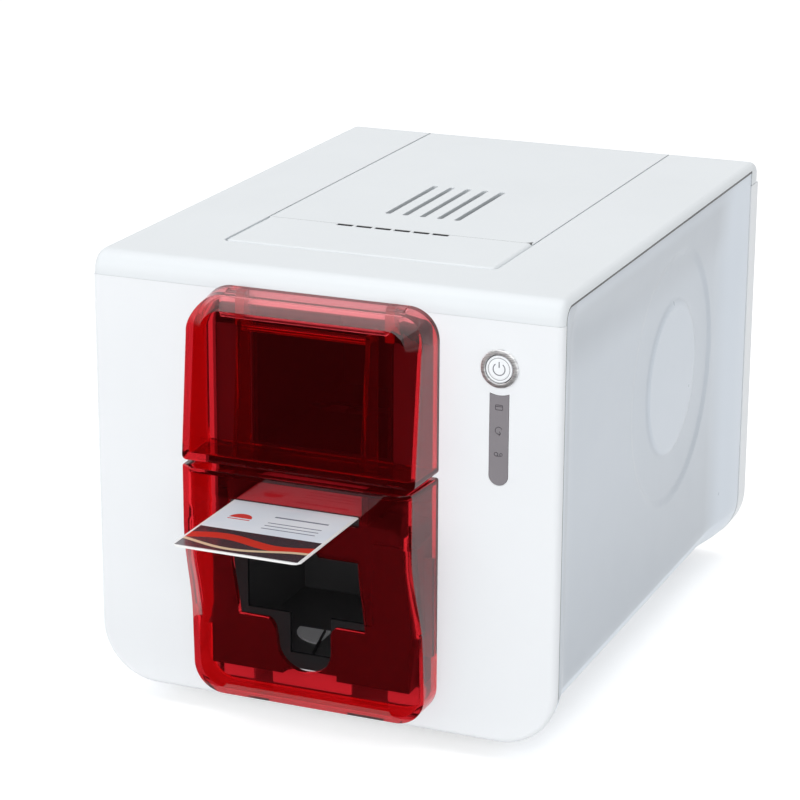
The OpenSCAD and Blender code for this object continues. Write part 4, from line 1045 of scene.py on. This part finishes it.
def upper_form(skin):
    """Feeder hood form, or its hollow: straight walls, a band wider over the top, a leaning face."""
    low, high = UPPER_LOW + skin, UPPER_HIGH - skin
    corner = HOOD_CORNER - skin
    foot = max(2 - skin, 0.5)
    rear = HOOD_BACK if not skin else BEHIND_HOOD
    inset = BAND + skin * 0.35
    wall = box_outline(-HOOD_HALF + skin, HOOD_HALF - skin, low, high, foot, corner, 16)
    edge = box_outline(-HOOD_HALF + skin, HOOD_HALF - skin, low, high - TOP_DRAFT, foot, corner, 16)
    face = box_outline(-HOOD_HALF + inset, HOOD_HALF - inset, low + 1, high - BAND_HIGH, 2, 9, 16)
    rings = [[(x, rear, z) for x, z in wall]]
    rings.append([(x * 0.985, upper_lean(z) + band_drop(z, high - TOP_DRAFT) + skin, z) for x, z in edge])
    rings.append([(x, upper_lean(z) + skin, z) for x, z in face])
    return ring_piece("feeder_hood_shell", rings, None, red_acrylic)


feeder_hood = upper_form(0)
break_edges(feeder_hood, 0.9, 20, 4)
settle(feeder_hood, "broken_edges", "facing")
hollow = upper_form(HOOD_SKIN)

# Pockets in the top wall that clear the bin's hinge knuckles
HOOD_PIVOT = (-2.8, 177.0)
POCKET_R = 2.4
POCKET_WIDE = 4.6
POCKET_LEFTS = (-38.8, 34.2)
pocket = [(-5.2, 171.7), (1.0, 171.7), (1.0, 177.0)] + arc(HOOD_PIVOT, POCKET_R, 0, 180, 16)
cut_away(feeder_hood, hollow, *[cutter(pocket, x, x + POCKET_WIDE, "x") for x in POCKET_LEFTS])
break_edges(feeder_hood, 0.12, 50, 1)
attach(feeder_hood, "feeder_cover")
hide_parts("feeder_hood")

# Ribs and a top stop inside the hood
low, high = UPPER_LOW + HOOD_SKIN + 0.4, UPPER_HIGH - 9.5
rib = [(upper_lean(low) + HOOD_SKIN + 0.1, low), (-7, low), (-7, high)]
rib.append((upper_lean(high) + HOOD_SKIN + 0.1, high))
low, high = UPPER_HIGH - 13.5, UPPER_HIGH - 11.3
stop = [(upper_lean(low) + HOOD_SKIN + 0.3, low), (-10, low), (-10, high)]
stop.append((upper_lean(low) + HOOD_SKIN + 0.5, high))
RIB_INSIDE, RIB_OUTSIDE = 26.8, 28.8
STOP_HALF = 26.7
for name, outline, start, end, edge in (
    ("feeder_hood_rib_left", rib, -RIB_OUTSIDE, -RIB_INSIDE, 0.3),
    ("feeder_hood_rib_right", rib, RIB_INSIDE, RIB_OUTSIDE, 0.3),
    ("feeder_hood_top_stop", stop, -STOP_HALF, STOP_HALF, 0.4),
):
    prism(name, outline, (start, end), "x", "feeder_cover", red_acrylic, edge)
dress("feeder_hood_pins", turned_steel, 0)

# ----------
# Output hood. The same red acrylic, drawn out at its lip and falling back to
# the foot in a slow curve, pierced by the card slot and a window for fingers.
LOWER_LOW, LOWER_HIGH = 7.5, 110.3
LIP_REACH, FOOT_REACH = 26.0, 13.5
CURVE_FROM = 0.3
CURVE_LONG = 0.46
FOOT_SHARE = 0.15


def lower_reach(z):
    """How far the side walls stand out at one height: little at the foot, then out to the lip."""
    t = min(max((z - LOWER_LOW) / (LOWER_HIGH - LOWER_LOW), 0), 1)
    if t < CURVE_FROM:
        share = FOOT_SHARE * t / CURVE_FROM
    else:
        turn = min(1, (t - CURVE_FROM) / CURVE_LONG) * math.pi
        share = FOOT_SHARE + (1 - FOOT_SHARE) * (1 - math.cos(turn)) / 2
    return FOOT_REACH + (LIP_REACH - FOOT_REACH) * share


FACE_SWELL = ((7.5, 0.9), (22, 0.9), (34, 1.8), (48, 3.2), (65, 2.2), (80, 1.0), (110.3, 0.6))


def face_reach(z):
    """The face swells a little beyond the curve of the side walls."""
    for (low, first), (high, second) in zip(FACE_SWELL, FACE_SWELL[1:]):
        if z <= high:
            share = ease((z - low) / (high - low))
            return lower_reach(z) + first + (second - first) * share
    return lower_reach(z) + FACE_SWELL[-1][1]


def drawn(z):
    """1 where the hood is drawn out to its lip, 0 at its foot."""
    return (lower_reach(z) - FOOT_REACH) / (LIP_REACH - FOOT_REACH)


def wall_front(z):
    """Y of the side walls' front edge at one height."""
    return -lower_reach(z) + 0.3 + 1.4 * drawn(z)


def tall_outline(side, low, high, low_r, high_r, rows=40):
    """Upright outline with many points up its sides, so that a curved face can follow them."""
    foot, top = low + low_r, high - high_r
    points = arc((side - low_r, foot), low_r, 270, 360, 12)
    points += [(side, foot + (top - foot) * i / rows) for i in range(1, rows)]
    points += arc((side - high_r, top), high_r, 0, 90, 4)
    return mirrored(points)


def lower_form(skin):
    """Output hood form, or its hollow: straight walls, a band and a curved face."""
    wall = tall_outline(HOOD_HALF - skin, LOWER_LOW + skin, LOWER_HIGH - skin, HOOD_CORNER - skin, 1.0)
    inset = BAND - 0.5 + skin * 0.35
    face = tall_outline(HOOD_HALF - inset, LOWER_LOW + inset * 0.8, LOWER_HIGH - 0.6 - skin, 9.0, 0.6)
    rear = HOOD_BACK if not skin else BEHIND_HOOD
    rings = [[(x, rear, z) for x, z in wall]]
    rings.append([(x * (1 - 0.03 * drawn(z)), wall_front(z) + skin, z) for x, z in wall])
    rings.append([(x, -face_reach(z) + skin, z) for x, z in face])
    points, faces = stacked_rings(rings)
    faces.pop()
    count = len(face)
    half = count // 2
    base = 2 * count
    for i in range(half - 1):
        right, left = base + i, base + count - 1 - i
        faces.append((right, right + 1, left - 1, left))
    return skin_piece("output_hood_shell", points, faces, None, red_acrylic)


output_hood = lower_form(0)
break_edges(output_hood, 0.9, 28, 4)
settle(output_hood, "broken_edges", "facing")
hollow = lower_form(HOOD_SKIN)

# Window for fingers with a round throat below it, and the card slot
IN_FRONT = -30
WINDOW_BACK, SLOT_BACK = -6, -8
SLOT_HALF = 28.5
SLOT_LOW, SLOT_HIGH = 94.4, 98.9
above = [(28, 47), (28, 79.5), (11, 79.5), (7, 84)]
below = [(-15, 47), (-13.4, 45.6), (-12.4, 43), (-12, 38)]
window = mirrored(above) + below + arc((0, 35.7), 12, 180, 360, 28) + mirrored(below)[4:]
card_slot = box_outline(-SLOT_HALF, SLOT_HALF, SLOT_LOW, SLOT_HIGH, 1.0, 1.0, 4)
window_tool = cutter(window[::-1], IN_FRONT, WINDOW_BACK)
cut_away(output_hood, hollow, window_tool, cutter(card_slot, IN_FRONT, SLOT_BACK))
break_edges(output_hood, 0.15, 50, 1)
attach(output_hood, "output_hopper")
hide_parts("output_hood")

# ----------
# Output bucket. A black box fixed behind the lower hood; its front and floor
# are cut away in the middle so that fingers reach the cards.
# Painted light and shade: charcoal inside for light that doesn't get in, and painted shade black on the
# bucket's front faces
output_bucket = dress("output_bucket", painted_light_charcoal, 0.3)
face_front(output_bucket, painted_shade_black, 7.5)
BUCKET_FLOOR = 22.0
pad = [(-9.6, 33.0)] + arc((-9.6, 33.0), 15.0, 180, 270, 20)
rail = [(-4.2, -7), (-3.3, -7), (-11.6, 31), (-12.5, 31)]
for name, outline, top, finish, slot in (
    ("bucket_floor_pad", pad, 22.7, white_moulding, "white_moulding"),
    ("bucket_floor_rail", rail, 23.6, black_moulding, "black_moulding"),
):
    prism(name, outline, (BUCKET_FLOOR, top), "z", "output_hopper", finish, 0.2)

# Pale ledges on the front panel that shine through the foot of the hood
for side, x, half in (("left", -38.5, 7.0), ("middle", -5.0, 18.0), ("right", 36.5, 7.5)):
    light = box_outline(x - half, x + half, 9.2, 18.5, 1, 1, 3)
    prism("hood_foot_light_" + side, light, (2.7, 4.0), "y", "casing", white_moulding, 0.3)

# ----------
# Power button. A white key with a fine ring and the standby sign, sliding in
# a brushed metal bezel that is pressed into the front panel.
brushed_bezel = bare_metal(
    "brushed_bezel", (0.86, 0.86, 0.87), roughness=0.55, brushed=(1, 1, 7), depth=0.25, mottle=0.3
)
button_moulding = moulded_plastic("button_moulding", (0.84, 0.86, 0.88), roughness=0.26, grain=0.5)
sign_ink = moulded_plastic("sign_ink", (0.20, 0.21, 0.23), roughness=0.4)


def turned(name, profile, centre, body, material, slot, closed=True, steps=96):
    """A form turned round an axis along Y, from (radius, y) pairs; open ones end on the axis."""
    rings = [[(x, y, z) for x, z in arc(centre, r, 0, 360, steps)[:-1]] for r, y in profile]
    return ring_piece(name, rings, body, material, not closed)


bezel_profile = [(5.85, 5.0), (5.85, -0.9), (6.0, -1.2), (6.3, -1.32), (7.3, -1.16), (7.65, -0.95)]
bezel_profile += [(7.8, -0.5), (7.8, 0.02), (6.9, 0.02), (6.9, 5.0)]
bezel = turned("button_bezel", bezel_profile, BUTTON, "casing", brushed_bezel, "brushed_metal")
break_edges(bezel, 0.12, 50)
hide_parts("button_ring")

key_profile = [(0.3, 3.8), (5.3, 3.8), (5.5, 3.6), (5.5, -0.75), (5.42, -0.98), (5.25, -1.08), (5.05, -1.1)]
key_profile += [(4.62, -1.08), (4.55, -0.93), (4.4, -0.93), (4.33, -1.06)]
key_profile += [(3.4, -1.0), (1.6, -0.94), (0.05, -0.92)]
key_place = (BUTTON, "power_key")
power_key = turned("power_key_cap", key_profile, *key_place, button_moulding, "white_moulding", closed=False)
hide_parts("power_button")


def flat_line(name, path, width, level, body, material, lift=0.06, closed=False):
    """A printed or inlaid line: a thin flat strip along a path of (x, z) points in front of level."""
    rings = []
    count = len(path)
    for i, (x, z) in enumerate(path):
        before = path[i - 1] if i or closed else path[0]
        after = path[(i + 1) % count] if i < count - 1 or closed else path[-1]
        dx, dz = after[0] - before[0], after[1] - before[1]
        length = math.hypot(dx, dz) or 1
        nx, nz = -dz / length * width / 2, dx / length * width / 2
        near = [(x + nx, level, z + nz), (x - nx, level, z - nz)]
        rings.append(near + [(px, level - lift, pz) for px, _, pz in reversed(near)])
    return ring_piece(name, rings, body, material, caps=not closed)


KEY_FACE = -0.94
SIGN_WIDE = 0.42
flat_line("key_ring_line", arc(BUTTON, 4.47, 0, 355, 71), 0.24, KEY_FACE, "power_key", sign_ink, closed=True)
flat_line("standby_arc", arc(BUTTON, 2.45, 128, 412, 40), SIGN_WIDE, KEY_FACE, "power_key", sign_ink)
bar_path = [(BUTTON_X, BUTTON_Z + rise) for rise in (0.6, 1.8, 3.0)]
flat_line("standby_bar", bar_path, SIGN_WIDE, KEY_FACE, "power_key", sign_ink)

# ----------
# Lamp strip. A smoked grey lens let flush into the panel under the button,
# with three small signs before the lamps: a card, a turning arrow and a spool.
smoked_lens = moulded_plastic(
    "smoked_lens", (0.235, 0.22, 0.235), mottle=0.04, roughness=0.2, spread=0.04, grain=1.2, depth=0.03
)
lens = prism("lamp_lens", strip_outline(0), (2.4, -0.25), "y", "casing", smoked_lens, 0.25)
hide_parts("lamp_strip")
lens_ink = moulded_plastic("lens_ink", (0.045, 0.04, 0.05), roughness=0.3)
LENS_FACE = -0.24
SIGN_LINE = 0.22
arrow = [(BUTTON_X + 0.1, 131.2), (BUTTON_X + 0.8, 132.0), (BUTTON_X + 0.2, 132.9)]
web = [(BUTTON_X - 1.0, 122.65), (BUTTON_X, 122.7), (BUTTON_X + 1.1, 122.85)]
for name, path, closed in (
    ("card_sign", box_outline(BUTTON_X - 1.5, BUTTON_X + 1.5, 141.7, 143.7, 0.35, 0.35, 3), True),
    ("card_sign_rule", [(BUTTON_X + dx, 143.1) for dx in (-1.4, 0, 1.4)], False),
    ("turning_sign", arc((BUTTON_X, 133.2), 1.45, 20, 300, 24), False),
    ("turning_sign_tip", arrow, False),
    ("spool_sign_left", arc((BUTTON_X - 1.0, 123.4), 0.75, 0, 345, 23), True),
    ("spool_sign_right", arc((BUTTON_X + 1.1, 123.4), 0.55, 0, 345, 23), True),
    ("spool_sign_web", web, False),
):
    flat_line(name, path, SIGN_LINE, LENS_FACE, "casing", lens_ink, closed=closed)
dress("lamp_board", circuit_laminate("lamp_board_laminate"), 0)

# ----------
# Printed card. Laminated white plastic with round corners; its face has a
# dark band with soft waves of red and sand, a small half disc and plain rules.
CARD_HALF = 27.0
CARD_FRONT = -80.6
CARD_REAR = 5.0
CARD_LOW = 97.2
CARD_THICK = 0.76


def card_print(name):
    """Printed face, laid out by the card's own place: band, waves, half disc and rules on a pale ground."""
    material, tree, surface = new_material(name, Coat_Weight=0.5, Coat_Roughness=0.08)
    place = add_node(tree, "TexCoord")
    parts = add_node(tree, "SeparateXYZ")
    wire(place, "Object", parts, 0)

    def both(first, second):
        return reckon(tree, "MULTIPLY", first, second)

    def either(first, second):
        return reckon(tree, "MAXIMUM", first, second)

    def between(value, low, high):
        return both(reckon(tree, "GREATER_THAN", value, low), reckon(tree, "LESS_THAN", value, high))

    def squared(value):
        return reckon(tree, "POWER", value, 2.0)

    across = reckon(tree, "MULTIPLY", parts.outputs["X"], 1000)
    along = reckon(tree, "MULTIPLY", parts.outputs["Y"], 1000)
    along = reckon(tree, "SUBTRACT", along, CASING_FRONT * 1000)
    face_level = CASING_UNDER + (CARD_LOW + CARD_THICK - 0.1) * 0.001
    upper = reckon(tree, "GREATER_THAN", parts.outputs["Z"], face_level)
    inner = both(between(across, -26.0, 26.0), between(along, CARD_FRONT + 1.0, CARD_REAR - 1.0))
    band = between(along, CARD_FRONT + 1.0, CARD_FRONT + 24.0)
    wave = reckon(tree, "SINE", reckon(tree, "MULTIPLY", across, 0.13))
    wave = reckon(tree, "ADD", along, reckon(tree, "MULTIPLY", wave, 2.6))
    red_wave = between(wave, CARD_FRONT + 11.0, CARD_FRONT + 17.0)
    wave = reckon(tree, "SINE", reckon(tree, "ADD", reckon(tree, "MULTIPLY", across, 0.1), 2.0))
    wave = reckon(tree, "ADD", along, reckon(tree, "MULTIPLY", wave, 3.2))
    sand_wave = between(wave, CARD_FRONT + 6.5, CARD_FRONT + 8.6)
    aside = squared(reckon(tree, "ADD", across, 15.5))
    reach = reckon(tree, "ADD", aside, squared(reckon(tree, "SUBTRACT", along, -43.0)))
    reach = reckon(tree, "POWER", reach, 0.5)
    half_disc = both(reckon(tree, "LESS_THAN", reach, 4.8), reckon(tree, "GREATER_THAN", along, -43.0))
    base_line = both(between(along, -44.9, -44.1), between(across, -20.3, -10.7))
    emblem = either(half_disc, base_line)
    rules = between(along, -50.5, -49.7)
    for low, high in ((-47.3, -46.5), (-44.1, -43.3), (-37.5, -36.2)):
        rules = either(rules, between(along, low, high))
    rules = both(rules, between(across, -3.0, 20.0))
    cloud = add_node(tree, "TexNoise", Scale=38)
    peel = add_node(tree, "TexNoise", Scale=700)
    for texture in (cloud, peel):
        wire(place, "Object", texture, "Vector")
    ground = tone_ramp(tree, (0.78, 0.84, 0.92), (0.88, 0.91, 0.96), 0.35, 0.62)
    wire(cloud, "Fac", ground, 0)
    shown = ground.outputs[0]
    for mask, ink in (
        (rules, (0.25, 0.27, 0.33, 1)),
        (emblem, (0.70, 0.06, 0.05, 1)),
        (band, (0.045, 0.035, 0.042, 1)),
        (both(band, red_wave), (0.60, 0.035, 0.02, 1)),
        (both(band, sand_wave), (0.72, 0.55, 0.36, 1)),
    ):
        shown = blend(tree, mask, shown, ink)
    shown = blend(tree, both(inner, upper), (0.86, 0.86, 0.85, 1), shown)
    feed(tree, shown, surface.inputs["Base Color"])
    uneven_finish(tree, surface, cloud, 0.14, 0.26, peel, 0.05, 0.0001)
    return material


card_line = box_outline(-CARD_HALF, CARD_HALF, CARD_FRONT, CARD_REAR, 3.18, 3.18, 12)
levels = (CARD_LOW, CARD_LOW + CARD_THICK)
card = prism("card_blank", card_line, levels, "z", "card", card_print("card_print"), 0.1)
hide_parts("printed_card")
